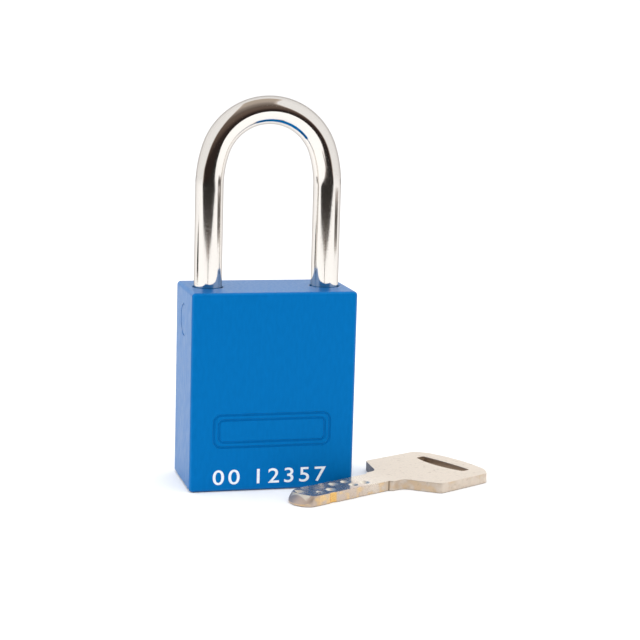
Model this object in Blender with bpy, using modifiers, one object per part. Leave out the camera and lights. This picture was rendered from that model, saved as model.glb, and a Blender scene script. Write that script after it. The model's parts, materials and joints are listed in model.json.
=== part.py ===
"""A keyed safety padlock: aluminium body, steel shackle held by two balls, and a dimple key cylinder.

Metres, +Z up. The origin is the centre of the body's top face, with the shackle's legs along X and the
front face towards -Y. The padlock is closed, the cam is at its open angle and the pins stand at the
shear line. Lengths below are millimetres times MM.
"""

import math

import bmesh
import bpy
import numpy as np
from mathutils import Vector

MM = 0.001
WELD = 0.00001
LINKED = "safety_padlock"
CUTTERS = "cutters"

# Body block
BODY_WIDTH, BODY_DEPTH, BODY_HEIGHT = 38.0 * MM, 20.0 * MM, 45.4 * MM
BODY_EDGE = 0.9 * MM
BODY_BOTTOM = -BODY_HEIGHT
PAST = 1.0 * MM  # how far a cutter runs past the face it opens
OVERLAP = 0.6 * MM  # how far joined solids run into each other
SHARP_ANGLE = math.radians(35.0)

# Shackle
LEG_X = 13.65 * MM
ROD_RADIUS = 3.175 * MM
LEG_BORE_RADIUS = 3.45 * MM
ARCH_FOOT_Z = 22.9 * MM
CROWN_RADIUS = 13.0 * MM
CROWN_HALF_ANGLE = math.radians(72.0)
SHACKLE_LIFT = 13.2 * MM
TOE_END_Z = -12.6 * MM
HEEL_END_Z = -26.8 * MM
TOE_BORE_FLOOR = -15.4 * MM
HEEL_BORE_FLOOR = -41.5 * MM
END_CHAMFER = 0.7 * MM
LIFT_SPRING_RADIUS, LIFT_WIRE, LIFT_SPRING_TURNS, LIFT_SPRING_GAP = 2.75 * MM, 0.35 * MM, 8, 0.5 * MM

# Locking balls
BALL_Z = -7.5 * MM
BALL_RADIUS = 3.5 * MM
BALL_BORE_RADIUS, BALL_BORE_END = 3.65 * MM, 11.5 * MM
BALL_PLUG_GAP, BALL_PLUG_SUNK, BALL_PLUG_SHORT = 0.08 * MM, 0.05 * MM, 0.2 * MM
NOTCH_RADIUS = 3.6 * MM
LEG_INNER_X = LEG_X - ROD_RADIUS
LOCKED_GRIP = 1.1 * MM  # how deep a locked ball sits in its leg
HEEL_GRIP = 0.5 * MM  # the heel ball keeps this hold of the leg when the cam is open
TOE_CLEAR = 0.1 * MM
BALL_LOCKED_X = LEG_INNER_X + LOCKED_GRIP - BALL_RADIUS
TOE_OPEN_X = LEG_INNER_X - TOE_CLEAR - BALL_RADIUS
HEEL_OPEN_X = LEG_INNER_X + HEEL_GRIP - BALL_RADIUS

# Cam, on the body's middle axis
CHAMBER_RADIUS, CHAMBER_TOP = 6.0 * MM, -3.2 * MM
CAM_TOP, CAM_BOTTOM = -3.6 * MM, -11.9 * MM
CAM_CLEARANCE = 0.05 * MM
CAM_LOBE = BALL_LOCKED_X - BALL_RADIUS - CAM_CLEARANCE
JOURNAL_RADIUS, JOURNAL_TOP = 1.9 * MM, -2.4 * MM
JOURNAL_GAP, JOURNAL_END_GAP = 0.1 * MM, 0.15 * MM
COLLAR_RADIUS, COLLAR_TOP, COLLAR_BOTTOM = 5.3 * MM, -11.4 * MM, -12.4 * MM
STEM_RADIUS, STEM_BOTTOM = 2.9 * MM, -14.6 * MM
TANG_HALF_WIDTH, TANG_HALF_THICK, TANG_BOTTOM = 2.8 * MM, 0.9 * MM, -16.4 * MM
TANG_GAP, TANG_END_GAP = 0.1 * MM, 0.15 * MM
CAM_SPRING_RADIUS, CAM_WIRE, CAM_SPRING_TURNS = 3.6 * MM, 0.25 * MM, 2.25
CAM_COIL_TOP, CAM_COIL_BOTTOM = COLLAR_BOTTOM - 0.45 * MM, STEM_BOTTOM + 0.15 * MM
SPRING_LEG_GAP, SPRING_LEG_HOLE, SPRING_LEG_IN = 0.15 * MM, 0.9 * MM, 0.6 * MM
SPRING_LEG_OUT, SPRING_SLOT_HALF = 0.3 * MM, 0.6 * MM

# Lock cylinder
SHELL_RADIUS, SHELL_HALF_RIB, SHELL_REACH = 6.5 * MM, 4.0 * MM, 16.05 * MM
SHELL_TOP = -18.0 * MM
SHELL_WALL_BOTTOM = -18.7 * MM
CYLINDER_FACE = BODY_BOTTOM + 0.5 * MM
CYLINDER_GAP = 0.15 * MM
RIB_CORNER = 1.2 * MM
PLUG_RADIUS, PLUG_BORE_RADIUS = 5.15 * MM, 5.25 * MM
PLUG_SHOULDER = -18.8 * MM
HUB_RADIUS, HUB_BORE_RADIUS, HUB_TOP = 4.0 * MM, 4.12 * MM, -14.8 * MM
CLIP_GROOVE = (-17.2 * MM, -17.9 * MM, 3.3 * MM)
CLIP_THICKNESS, CLIP_OUTER, CLIP_GAP, CLIP_LIFT = 0.55 * MM, 5.5 * MM, 0.06 * MM, 0.05 * MM
CLIP_MOUTH = math.radians(32.0)
KEYWAY_GAP, KEYWAY_EDGE_GAP, KEYWAY_END_GAP, RECESS_GAP = 0.1 * MM, 0.15 * MM, 0.3 * MM, 0.2 * MM

# Key and the pins it sets
KEY_THICKNESS, BLADE_HALF = 2.4 * MM, 3.8 * MM
KEY_TIP, KEY_STOP, KEY_NECK_END = -7.9 * MM, 17.5 * MM, 21.4 * MM
NECK_HALF, BOW_HALF = 4.6 * MM, 12.7 * MM
BOW_START, BOW_SIDE_END, KEY_END = 25.8 * MM, 41.0 * MM, 44.7 * MM
BOW_CORNER, BOW_END_RADIUS, NOSE_LENGTH = 2.2 * MM, 38.0 * MM, 3.0 * MM
BOW_CORNER_END, BOW_EASE, BOW_RISE = math.radians(20.0), 0.6 * MM, 0.9 * MM
SLOT_HALF_LENGTH, SLOT_MIDDLE, SLOT_END_HALF = 7.7 * MM, 39.0 * MM, 1.15 * MM
SLOT_OUTER_SWELL, SLOT_INNER_SWELL = 0.4 * MM, 1.3 * MM
KEY_TURN = math.radians(27.0)
KEY_OFFSET = -21.4 * MM  # the blade's middle line, measured across the key from the origin
KEY_SLIDE = -0.9 * MM  # how far the key lies along its own direction
PIN_PITCH, FIRST_PIN, ROW_OFFSET = 3.44 * MM, 2.8 * MM, 1.5 * MM
DIMPLE_DEEPEST, DIMPLE_RADIUS, DIMPLE_FLOOR = 0.60 * MM, 1.2 * MM, 0.2 * MM
DIMPLE_RIM, DIMPLE_ABOVE = 0.15 * MM, 0.2 * MM
NOSE_WEDGE, NOSE_WEDGE_TURN = (2.0 * MM, 6.0 * MM, 1.0 * MM), math.radians(32.0)
NOSE_WEDGE_OUT, NOSE_WEDGE_UP = 0.2 * MM, 0.35 * MM
PIN_RADIUS, PIN_BORE_RADIUS = 0.97 * MM, 1.05 * MM
PIN_TIP_RADIUS, PIN_TIP_BORE_RADIUS = 0.55 * MM, 0.65 * MM
PIN_STEP = 1.95 * MM  # the pin bore narrows this far from the plug's axis
DROPPED_TIP = -0.6 * MM  # where every key pin's tip stops with no key in
PIN_GAP, PIN_FLAT, PIN_TAPER, PIN_DOME = 0.05 * MM, 0.25 * MM, 0.3 * MM, 0.42 * MM
DOME_MIDDLE = 0.55  # where the dome's middle ring lies, as a share of the pin's radius
DRIVER_LENGTH, DRIVER_CHAMFER, DRIVER_DOME = 4.4 * MM, 0.15 * MM, 0.22 * MM
PIN_SPRING_RADIUS, PIN_WIRE, PIN_SPRING_TURNS = 0.74 * MM, 0.14 * MM, 4.5
PIN_SPRING_GAP, PIN_SPRING_END_GAP = 0.2 * MM, 0.15 * MM
RIB_COVER_X, COVER_THICKNESS, COVER_HALF_WIDTH = 15.2 * MM, 0.75 * MM, 3.0 * MM
COVER_GAP, COVER_SUNK, COVER_ABOVE, COVER_BELOW = 0.1 * MM, 0.05 * MM, 1.4 * MM, 2.0 * MM
# Each pin: its place along the blade, its row, and the depth of its dimple
PINS = [
    (0, 1, 0.60 * MM),
    (1, -1, 0.25 * MM),
    (2, -1, 0.60 * MM),
    (3, 1, 0.60 * MM),
    (4, 1, 0.45 * MM),
    (4, -1, 0.45 * MM),
    (5, -1, 0.60 * MM),
]

# Retaining screw at the bottom of the toe leg's bore
SCREW_HEAD_RADIUS, SCREW_HEAD_TOP, SCREW_HEAD_BOTTOM = 2.7 * MM, -13.6 * MM, -15.3 * MM
SCREW_RADIUS, SCREW_HOLE_RADIUS, SCREW_END = 1.45 * MM, 1.55 * MM, -20.8 * MM
SCREW_HEAD_CHAMFER, SCREW_POINT, SCREW_END_GAP = 0.3 * MM, 0.4 * MM, 0.1 * MM
HEX_RADIUS, HEX_DEPTH = 1.25 * MM, 1.0 * MM

KEY_DIRECTION = Vector((math.cos(KEY_TURN), math.sin(KEY_TURN), 0))
KEY_ACROSS = Vector((-math.sin(KEY_TURN), math.cos(KEY_TURN), 0))
KEYED_TIP_Z = CYLINDER_FACE + (KEY_STOP - KEY_TIP)  # the tip's height when the key is fully in

FINISHES = {
    "blue_anodised": ((0.0, 0.16, 0.48), 0.42, 0.6),
    "chromed_steel": ((0.78, 0.77, 0.75), 0.12, 1.0),
    "nickel_silver": ((0.74, 0.69, 0.60), 0.30, 1.0),
    "brass": ((0.72, 0.52, 0.24), 0.30, 1.0),
    "bare_steel": ((0.52, 0.52, 0.53), 0.28, 1.0),
    "spring_steel": ((0.42, 0.43, 0.45), 0.30, 1.0),
}


def clear_scene():
    """Removes every object, then makes the collections for the parts and for the cutters."""
    for old in list(bpy.data.objects):
        bpy.data.objects.remove(old, do_unlink=True)
    for name in (LINKED, CUTTERS):
        group = bpy.data.collections.get(name) or bpy.data.collections.new(name)
        if group.name not in bpy.context.scene.collection.children:
            bpy.context.scene.collection.children.link(group)


def finish_material(node, finish):
    """A Principled BSDF for one sub-part."""
    colour, roughness, metallic = FINISHES[finish]
    material = bpy.data.materials.new(node + "_" + finish)
    material.use_nodes = True
    shader = material.node_tree.nodes["Principled BSDF"]
    shader.inputs["Base Color"].default_value = (*colour, 1.0)
    shader.inputs["Roughness"].default_value = roughness
    shader.inputs["Metallic"].default_value = metallic
    return material


def place(name, data, finish, location=(0, 0, 0), rotation=(0, 0, 0)):
    """Links an object. With a finish it is a part, and without one it is a cutter."""
    item = bpy.data.objects.new(name, data)
    item.location, item.rotation_euler = location, rotation
    if finish:
        bpy.data.collections[LINKED].objects.link(item)
        data.materials.append(finish_material(name, finish))
    else:
        bpy.data.collections[CUTTERS].objects.link(item)
        item.hide_render, item.display_type = True, "WIRE"
    return item


def mesh_from(name, shape):
    """Turns a finished bmesh into a mesh with smooth shading that breaks at sharp edges."""
    data = bpy.data.meshes.new(name)
    shape.to_mesh(data)
    shape.free()
    data.shade_smooth()
    data.set_sharp_from_angle(angle=SHARP_ANGLE)
    return data


def block(name, low, high, finish=None):
    """A box between two corners, with its origin at its middle."""
    low, high = Vector(low), Vector(high)
    shape = bmesh.new()
    bmesh.ops.create_cube(shape, size=1.0)
    bmesh.ops.scale(shape, vec=high - low, verts=shape.verts)
    return place(name, mesh_from(name, shape), finish, (low + high) / 2)


def bar(name, radius, start, end, finish=None, end_radius=None, sides=32):
    """A round bar or cone from one point to another, with its origin at its middle."""
    start, end = Vector(start), Vector(end)
    shape = bmesh.new()
    bmesh.ops.create_cone(
        shape,
        cap_ends=True,
        segments=sides,
        radius1=radius,
        radius2=radius if end_radius is None else end_radius,
        depth=(end - start).length,
    )
    turn = Vector((0, 0, 1)).rotation_difference(end - start).to_euler()
    return place(name, mesh_from(name, shape), finish, (start + end) / 2, turn)


def ball(name, radius, centre, finish=None, around=20, up=12):
    """A sphere."""
    shape = bmesh.new()
    bmesh.ops.create_uvsphere(shape, u_segments=around, v_segments=up, radius=radius)
    return place(name, mesh_from(name, shape), finish, centre)


def turned(name, profile, finish=None, location=(0, 0, 0), rotation=(0, 0, 0), steps=32):
    """A turned piece: the profile lists (radius, height) down its outer side, spun about local Z."""
    data = bpy.data.meshes.new(name)
    points = [(radius, 0, height) for radius, height in profile]
    data.from_pydata(points, [(i, i + 1) for i in range(len(points) - 1)], [])
    item = place(name, data, finish, location, rotation)
    spin = item.modifiers.new("Spin", "SCREW")
    spin.steps = spin.render_steps = steps
    spin.use_merge_vertices, spin.merge_threshold = True, WELD
    spin.use_smooth_shade = False
    return item


def solid_from_curve(item, finish):
    """Replaces a curve object with a closed mesh object, its caps welded to its sides."""
    bpy.context.view_layer.update()
    seen = item.evaluated_get(bpy.context.evaluated_depsgraph_get())
    data = bpy.data.meshes.new_from_object(seen)
    shape = bmesh.new()
    shape.from_mesh(data)
    bmesh.ops.remove_doubles(shape, verts=shape.verts, dist=WELD)
    bmesh.ops.recalc_face_normals(shape, faces=shape.faces)
    name, pose = item.name, item.matrix_world.copy()
    bpy.data.objects.remove(item, do_unlink=True)
    data = mesh_from(name, shape)
    data.materials.clear()
    result = place(name, data, finish)
    result.matrix_world = pose
    return result


def plate(name, outlines, low, high, finish=None, location=(0, 0, 0), rotation=(0, 0, 0)):
    """A flat piece between two heights. The first outline is its rim and any others are holes."""
    curve = bpy.data.curves.new(name, "CURVE")
    curve.dimensions, curve.fill_mode, curve.extrude = "2D", "BOTH", (high - low) / 2
    for outline in outlines:
        spline = curve.splines.new("POLY")
        spline.points.add(len(outline) - 1)
        for point, (x, y) in zip(spline.points, outline):
            point.co = (x, y, 0, 1)
        spline.use_cyclic_u = True
    item = bpy.data.objects.new(name, curve)
    bpy.data.collections[CUTTERS].objects.link(item)
    item.location, item.rotation_euler = Vector(location) + Vector((0, 0, (low + high) / 2)), rotation
    return solid_from_curve(item, finish)


def wire(name, points, radius, finish, resolution=2, location=(0, 0, 0), rotation=(0, 0, 0), tapers=None):
    """A round wire along the points, with closed ends. tapers scales the radius at each point."""
    curve = bpy.data.curves.new(name, "CURVE")
    curve.dimensions, curve.bevel_depth = "3D", radius
    curve.bevel_resolution, curve.use_fill_caps = resolution, True
    spline = curve.splines.new("POLY")
    spline.points.add(len(points) - 1)
    for i, (point, xyz) in enumerate(zip(spline.points, points)):
        point.co = (*xyz, 1)
        point.radius = tapers[i] if tapers else 1.0
    item = bpy.data.objects.new(name, curve)
    bpy.data.collections[CUTTERS].objects.link(item)
    item.location, item.rotation_euler = location, rotation
    return solid_from_curve(item, finish)


def combine(target, tools, operation="DIFFERENCE"):
    """Adds a Boolean for each tool, and hides the tool with the cutters."""
    for tool in tools:
        step = target.modifiers.new(tool.name, "BOOLEAN")
        step.operation, step.solver, step.object = operation, "EXACT", tool


def arc(centre, radius, start, end, count):
    """Points from one angle to another on a circle, both ends included. Angles are in radians."""
    return [
        (centre[0] + radius * math.cos(t), centre[1] + radius * math.sin(t))
        for t in np.linspace(start, end, count)
    ]


def coil(radius, low, high, turns, per_turn):
    """A helix about Z from one height to another."""
    turn = np.linspace(0, 2 * math.pi * turns, int(turns * per_turn) + 1)
    height = np.linspace(low, high, len(turn))
    return list(zip(radius * np.cos(turn), radius * np.sin(turn), height))


def rib_outline(radius, half_rib, reach, corner):
    """The lock cylinder's outline: a circle with a square rib that runs out towards -X."""
    join = math.asin(half_rib / radius)
    outline = arc((0, 0), radius, join - math.pi, math.pi - join, 29)
    outline += arc((corner - reach, half_rib - corner), corner, math.pi / 2, math.pi, 4)
    outline += arc((corner - reach, corner - half_rib), corner, math.pi, 1.5 * math.pi, 4)
    return outline


def cam_outline():
    """The largest cam that clears both balls at every angle of its quarter turn.

    Seen from the cam, the heel ball rolls from angle 0 to 90 degrees and the toe ball from 180 to 270,
    and each moves out evenly with the angle. In each direction the cam stops where its ray first
    meets a ball, or at the lobe's radius.
    """
    reach = BALL_RADIUS + CAM_CLEARANCE
    rolled = np.linspace(0, math.pi / 2, 61)
    outline = []
    for direction in np.linspace(0, 2 * math.pi, 72, endpoint=False):
        limit = CAM_LOBE
        for start, opened in ((0.0, HEEL_OPEN_X), (math.pi, TOE_OPEN_X)):
            centre = opened + (BALL_LOCKED_X - opened) * rolled / (math.pi / 2)
            apart = direction - start - rolled
            sideways = centre * np.sin(apart)
            meets = (np.abs(sideways) < reach) & (np.cos(apart) > 0)
            near = centre * np.cos(apart) - np.sqrt(np.maximum(reach**2 - sideways**2, 0))
            limit = min([limit, *near[meets]])
        outline.append((limit * math.cos(direction), limit * math.sin(direction)))
    return outline


def lost_motion_outline():
    """The recess in the plug's hub: the tang's outline swept back through a quarter turn."""
    half = TANG_HALF_THICK + TANG_GAP
    reach = TANG_HALF_WIDTH + TANG_END_GAP
    outer = math.hypot(reach, half)
    edge = math.atan2(half, reach)
    first = arc((0, 0), outer, edge, -math.pi / 2 - edge, 11) + [(-half, -half)]
    return first + [(-x, -y) for x, y in first]


def arch_points():
    """The shackle's middle line, from the heel's end up, over a three-centred arch and down to the toe.

    The crown is an arc about the middle, and each shoulder is a wider arc that meets the crown on one
    tangent and the leg on the other.
    """
    tilt = CROWN_HALF_ANGLE
    shoulder = (LEG_X - CROWN_RADIUS * math.sin(tilt)) / (1 - math.sin(tilt))
    crown_z = ARCH_FOOT_Z + (shoulder - CROWN_RADIUS) * math.cos(tilt)
    foot_angle = math.pi / 2 - tilt
    right = arc((LEG_X - shoulder, ARCH_FOOT_Z), shoulder, 0, foot_angle, 5)
    crown = arc((0, crown_z), CROWN_RADIUS, foot_angle, math.pi - foot_angle, 19)
    left = [(-x, z) for x, z in reversed(right)]
    heel = [(LEG_X, HEEL_END_Z), (LEG_X, HEEL_END_Z + END_CHAMFER)]
    toe = [(-LEG_X, TOE_END_Z + END_CHAMFER), (-LEG_X, TOE_END_Z)]
    return [(x, 0, z) for x, z in heel + right + crown[1:-1] + left + toe]


def make_body():
    """The block, bored for the shackle's legs, the lock cylinder, the cam, the balls and the screw."""
    half_width, half_depth = BODY_WIDTH / 2, BODY_DEPTH / 2
    body = block(
        "lock_body",
        (-half_width, -half_depth, BODY_BOTTOM),
        (half_width, half_depth, 0),
        "blue_anodised",
    )
    rounding = body.modifiers.new("Edges", "BEVEL")
    rounding.width, rounding.segments, rounding.limit_method = BODY_EDGE, 3, "NONE"
    bore_outline = rib_outline(
        SHELL_RADIUS + CYLINDER_GAP, SHELL_HALF_RIB + CYLINDER_GAP, SHELL_REACH + CYLINDER_GAP, RIB_CORNER
    )
    combine(
        body,
        [
            bar("heel_bore", LEG_BORE_RADIUS, (LEG_X, 0, HEEL_BORE_FLOOR), (LEG_X, 0, PAST)),
            bar("toe_bore", LEG_BORE_RADIUS, (-LEG_X, 0, TOE_BORE_FLOOR), (-LEG_X, 0, PAST)),
            plate("cylinder_bore", [bore_outline], BODY_BOTTOM - PAST, SHELL_TOP + CYLINDER_GAP),
            bar("cam_chamber", CHAMBER_RADIUS, (0, 0, SHELL_TOP - PAST), (0, 0, CHAMBER_TOP)),
            bar(
                "journal_recess",
                JOURNAL_RADIUS + JOURNAL_GAP,
                (0, 0, CHAMBER_TOP - PAST),
                (0, 0, JOURNAL_TOP + JOURNAL_END_GAP),
                sides=24,
            ),
            bar("ball_bore", BALL_BORE_RADIUS, (-half_width - PAST, 0, BALL_Z), (BALL_BORE_END, 0, BALL_Z)),
            bar(
                "screw_hole",
                SCREW_HOLE_RADIUS,
                (-LEG_X, 0, SHELL_TOP - PAST),
                (-LEG_X, 0, TOE_BORE_FLOOR + PAST),
                sides=20,
            ),
            block(
                "spring_leg_slot",
                (-SPRING_SLOT_HALF, CHAMBER_RADIUS - PAST, SHELL_TOP - PAST),
                (SPRING_SLOT_HALF, SHELL_RADIUS + CYLINDER_GAP, COLLAR_BOTTOM),
            ),
        ],
    )


def make_shackle():
    """The rod, notched for the two balls, with a flat and a round groove on the longer heel leg."""
    points = arch_points()
    tapers = [1.0] * len(points)
    tapers[0] = tapers[-1] = 1 - END_CHAMFER / ROD_RADIUS
    shackle = wire("shackle", points, ROD_RADIUS, "chromed_steel", resolution=8, tapers=tapers)
    groove_z = BALL_Z - SHACKLE_LIFT
    ring_radius = LEG_X - BALL_LOCKED_X
    groove = turned(
        "heel_groove",
        [
            (ring_radius + NOTCH_RADIUS * math.cos(t), NOTCH_RADIUS * math.sin(t))
            for t in np.linspace(math.pi, -math.pi, 25)
        ],
        location=(LEG_X, 0, groove_z),
    )
    reach = 2 * ROD_RADIUS
    combine(
        shackle,
        [
            bar("toe_notch", NOTCH_RADIUS, (-BALL_LOCKED_X, -reach, BALL_Z), (-BALL_LOCKED_X, reach, BALL_Z)),
            bar("heel_notch", NOTCH_RADIUS, (BALL_LOCKED_X, -reach, BALL_Z), (BALL_LOCKED_X, reach, BALL_Z)),
            block(
                "heel_flat",
                (LEG_X - reach, -reach, groove_z),
                (LEG_INNER_X + HEEL_GRIP + TOE_CLEAR, reach, BALL_Z),
            ),
            groove,
        ],
    )


def make_balls_and_cam():
    """Two balls, the cam between them, its return spring and the plug that closes the ball bore."""
    ball("locking_ball_toe", BALL_RADIUS, (-TOE_OPEN_X, 0, BALL_Z), "bare_steel")
    ball("locking_ball_heel", BALL_RADIUS, (HEEL_OPEN_X, 0, BALL_Z), "bare_steel")
    cam = turned(
        "locking_cam",
        [
            (0, JOURNAL_TOP),
            (JOURNAL_RADIUS, JOURNAL_TOP),
            (JOURNAL_RADIUS, COLLAR_TOP),
            (COLLAR_RADIUS, COLLAR_TOP),
            (COLLAR_RADIUS, COLLAR_BOTTOM),
            (STEM_RADIUS, COLLAR_BOTTOM),
            (STEM_RADIUS, STEM_BOTTOM),
            (0, STEM_BOTTOM),
        ],
        "bare_steel",
    )
    lobes = plate("cam_lobes", [cam_outline()], CAM_BOTTOM, CAM_TOP)
    tang = block(
        "cam_tang",
        (-TANG_HALF_WIDTH, -TANG_HALF_THICK, TANG_BOTTOM),
        (TANG_HALF_WIDTH, TANG_HALF_THICK, STEM_BOTTOM + OVERLAP),
    )
    combine(cam, [lobes, tang], "UNION")
    leg_hole = bar(
        "spring_leg_hole",
        CAM_WIRE + SPRING_LEG_GAP,
        (CAM_SPRING_RADIUS, 0, COLLAR_BOTTOM - PAST),
        (CAM_SPRING_RADIUS, 0, COLLAR_BOTTOM + SPRING_LEG_HOLE),
        sides=12,
    )
    combine(cam, [leg_hole])
    turns = coil(CAM_SPRING_RADIUS, CAM_COIL_TOP, CAM_COIL_BOTTOM, CAM_SPRING_TURNS, 12)
    upper_leg = [(CAM_SPRING_RADIUS, 0, COLLAR_BOTTOM + SPRING_LEG_IN)]
    lower_leg = [(0, CHAMBER_RADIUS + SPRING_LEG_OUT, CAM_COIL_BOTTOM)]
    wire("cam_spring", upper_leg + turns + lower_leg, CAM_WIRE, "spring_steel")
    face = -BODY_WIDTH / 2 + BALL_PLUG_SUNK
    bar(
        "ball_bore_plug",
        BALL_BORE_RADIUS - BALL_PLUG_GAP,
        (face, 0, BALL_Z),
        (-LEG_X - LEG_BORE_RADIUS - BALL_PLUG_SHORT, 0, BALL_Z),
        "blue_anodised",
    )


def make_shackle_spring():
    """The spring under the heel leg that lifts the shackle when it is let go."""
    low, high = HEEL_BORE_FLOOR + LIFT_SPRING_GAP, HEEL_END_Z - LIFT_SPRING_GAP
    turns = coil(LIFT_SPRING_RADIUS, low, high, LIFT_SPRING_TURNS, 10)
    wire("shackle_spring", turns, LIFT_WIRE, "spring_steel", location=(LEG_X, 0, 0))


def pin_place(station, row):
    """Where a pin's axis crosses the plug's middle plane."""
    return Vector((0, row * ROW_OFFSET, KEYED_TIP_Z - FIRST_PIN - station * PIN_PITCH))


def pin_bores(prefix, inner, outer):
    """A bore for each pin, running out towards -X from one distance to another."""
    bores = []
    for number, (station, row, _) in enumerate(PINS, 1):
        middle = pin_place(station, row)
        start, end = middle - Vector((inner, 0, 0)), middle - Vector((outer, 0, 0))
        bores.append(bar(f"{prefix}_{number}", PIN_BORE_RADIUS, start, end, sides=14))
    return bores


def make_cylinder():
    """The shell with its pin chambers, the cover over them, the turning plug, its clip and the screw."""
    shell_outline = rib_outline(SHELL_RADIUS, SHELL_HALF_RIB, SHELL_REACH, RIB_CORNER)
    shell = plate("cylinder_shell", [shell_outline], CYLINDER_FACE, SHELL_TOP, "brass")
    stations = [pin_place(station, 0).z for station, _, _ in PINS]
    cover_top, cover_bottom = max(stations) + COVER_ABOVE, min(stations) - COVER_BELOW
    cutters = [
        bar("plug_bore", PLUG_BORE_RADIUS, (0, 0, CYLINDER_FACE - PAST), (0, 0, SHELL_WALL_BOTTOM)),
        bar("hub_bore", HUB_BORE_RADIUS, (0, 0, SHELL_WALL_BOTTOM - PAST), (0, 0, SHELL_TOP + PAST)),
        bar(
            "screw_thread",
            SCREW_HOLE_RADIUS,
            (-LEG_X, 0, SCREW_END - SCREW_END_GAP),
            (-LEG_X, 0, SHELL_TOP + PAST),
            sides=20,
        ),
        block(
            "cover_seat",
            (-SHELL_REACH - PAST, -COVER_HALF_WIDTH - COVER_GAP, cover_bottom - COVER_GAP),
            (-RIB_COVER_X, COVER_HALF_WIDTH + COVER_GAP, cover_top + COVER_GAP),
        ),
    ]
    combine(shell, cutters + pin_bores("pin_chamber", PLUG_RADIUS - PAST, RIB_COVER_X + PAST))
    block(
        "pin_chamber_cover",
        (-RIB_COVER_X - COVER_THICKNESS, -COVER_HALF_WIDTH, cover_bottom),
        (-RIB_COVER_X - COVER_SUNK, COVER_HALF_WIDTH, cover_top),
        "brass",
    )
    groove_top, groove_bottom, groove_radius = CLIP_GROOVE
    plug = turned(
        "cylinder_plug",
        [
            (0, HUB_TOP),
            (HUB_RADIUS, HUB_TOP),
            (HUB_RADIUS, groove_top),
            (groove_radius, groove_top),
            (groove_radius, groove_bottom),
            (HUB_RADIUS, groove_bottom),
            (HUB_RADIUS, PLUG_SHOULDER),
            (PLUG_RADIUS, PLUG_SHOULDER),
            (PLUG_RADIUS, CYLINDER_FACE),
            (0, CYLINDER_FACE),
        ],
        "nickel_silver",
        steps=36,
    )
    half_slot, half_blade = KEY_THICKNESS / 2 + KEYWAY_GAP, BLADE_HALF + KEYWAY_EDGE_GAP
    keyway = block(
        "keyway",
        (-half_slot, -half_blade, CYLINDER_FACE - PAST),
        (half_slot, half_blade, KEYED_TIP_Z + KEYWAY_END_GAP),
    )
    recess = plate("lost_motion_recess", [lost_motion_outline()], TANG_BOTTOM - RECESS_GAP, HUB_TOP + PAST)
    tip_bores = [
        bar(
            f"pin_tip_bore_{number}",
            PIN_TIP_BORE_RADIUS,
            pin_place(station, row),
            pin_place(station, row) - Vector((PIN_STEP + PAST, 0, 0)),
            sides=10,
        )
        for number, (station, row, _) in enumerate(PINS, 1)
    ]
    combine(plug, [keyway, recess] + tip_bores + pin_bores("pin_bore", PIN_STEP, PLUG_RADIUS + PAST))
    ring = arc((0, 0), CLIP_OUTER, CLIP_MOUTH, 2 * math.pi - CLIP_MOUTH, 25)
    ring += arc((0, 0), groove_radius + CLIP_GAP, 2 * math.pi - CLIP_MOUTH, CLIP_MOUTH, 25)
    clip_bottom = groove_bottom + CLIP_LIFT
    plate("plug_clip", [ring], clip_bottom, clip_bottom + CLIP_THICKNESS, "spring_steel")
    screw = turned(
        "cylinder_retaining_screw",
        [
            (0, SCREW_HEAD_TOP),
            (SCREW_HEAD_RADIUS - SCREW_HEAD_CHAMFER, SCREW_HEAD_TOP),
            (SCREW_HEAD_RADIUS, SCREW_HEAD_TOP - SCREW_HEAD_CHAMFER),
            (SCREW_HEAD_RADIUS, SCREW_HEAD_BOTTOM),
            (SCREW_RADIUS, SCREW_HEAD_BOTTOM),
            (SCREW_RADIUS, SCREW_END + SCREW_POINT),
            (SCREW_RADIUS - SCREW_POINT, SCREW_END),
            (0, SCREW_END),
        ],
        "bare_steel",
        location=(-LEG_X, 0, 0),
        steps=20,
    )
    socket = bar(
        "hex_socket",
        HEX_RADIUS,
        (-LEG_X, 0, SCREW_HEAD_TOP - HEX_DEPTH),
        (-LEG_X, 0, SCREW_HEAD_TOP + PAST),
        sides=6,
    )
    combine(screw, [socket])


def make_pins():
    """A key pin, a driver pin and a spring for each dimple, on one line out from the plug."""
    outward = (0, math.radians(-90), 0)
    shear = math.sqrt(PLUG_RADIUS**2 - ROW_OFFSET**2) - PIN_GAP
    driver_start = math.sqrt(PLUG_BORE_RADIUS**2 - ROW_OFFSET**2) + PIN_GAP
    driver_end = driver_start + DRIVER_LENGTH
    for number, (station, row, depth) in enumerate(PINS, 1):
        axis = pin_place(station, row)
        tip = KEY_THICKNESS / 2 - depth
        drop = tip - DROPPED_TIP
        shoulder = PIN_STEP + drop + PIN_GAP
        turned(
            f"key_pin_{number}",
            [
                (0, shear),
                (DOME_MIDDLE * PIN_RADIUS, shear - PIN_DOME / 4),
                (PIN_RADIUS, shear - PIN_DOME),
                (PIN_RADIUS, shoulder),
                (PIN_TIP_RADIUS, shoulder),
                (PIN_TIP_RADIUS, tip + PIN_TAPER),
                (PIN_FLAT, tip),
                (0, tip),
            ],
            "brass",
            axis,
            outward,
            steps=12,
        )
        turned(
            f"driver_pin_{number}",
            [
                (0, driver_end),
                (PIN_RADIUS - DRIVER_CHAMFER, driver_end),
                (PIN_RADIUS, driver_end - DRIVER_CHAMFER),
                (PIN_RADIUS, driver_start + DRIVER_DOME),
                (DOME_MIDDLE * PIN_RADIUS, driver_start + DRIVER_DOME / 4),
                (0, driver_start),
            ],
            "brass",
            axis,
            outward,
            steps=12,
        )
        spring_start, spring_end = driver_end + PIN_SPRING_GAP, RIB_COVER_X - PIN_SPRING_END_GAP
        turns = coil(PIN_SPRING_RADIUS, spring_start, spring_end, PIN_SPRING_TURNS, 8)
        name = f"pin_spring_{number}"
        wire(name, turns, PIN_WIRE, "spring_steel", resolution=1, location=axis, rotation=outward)


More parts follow.
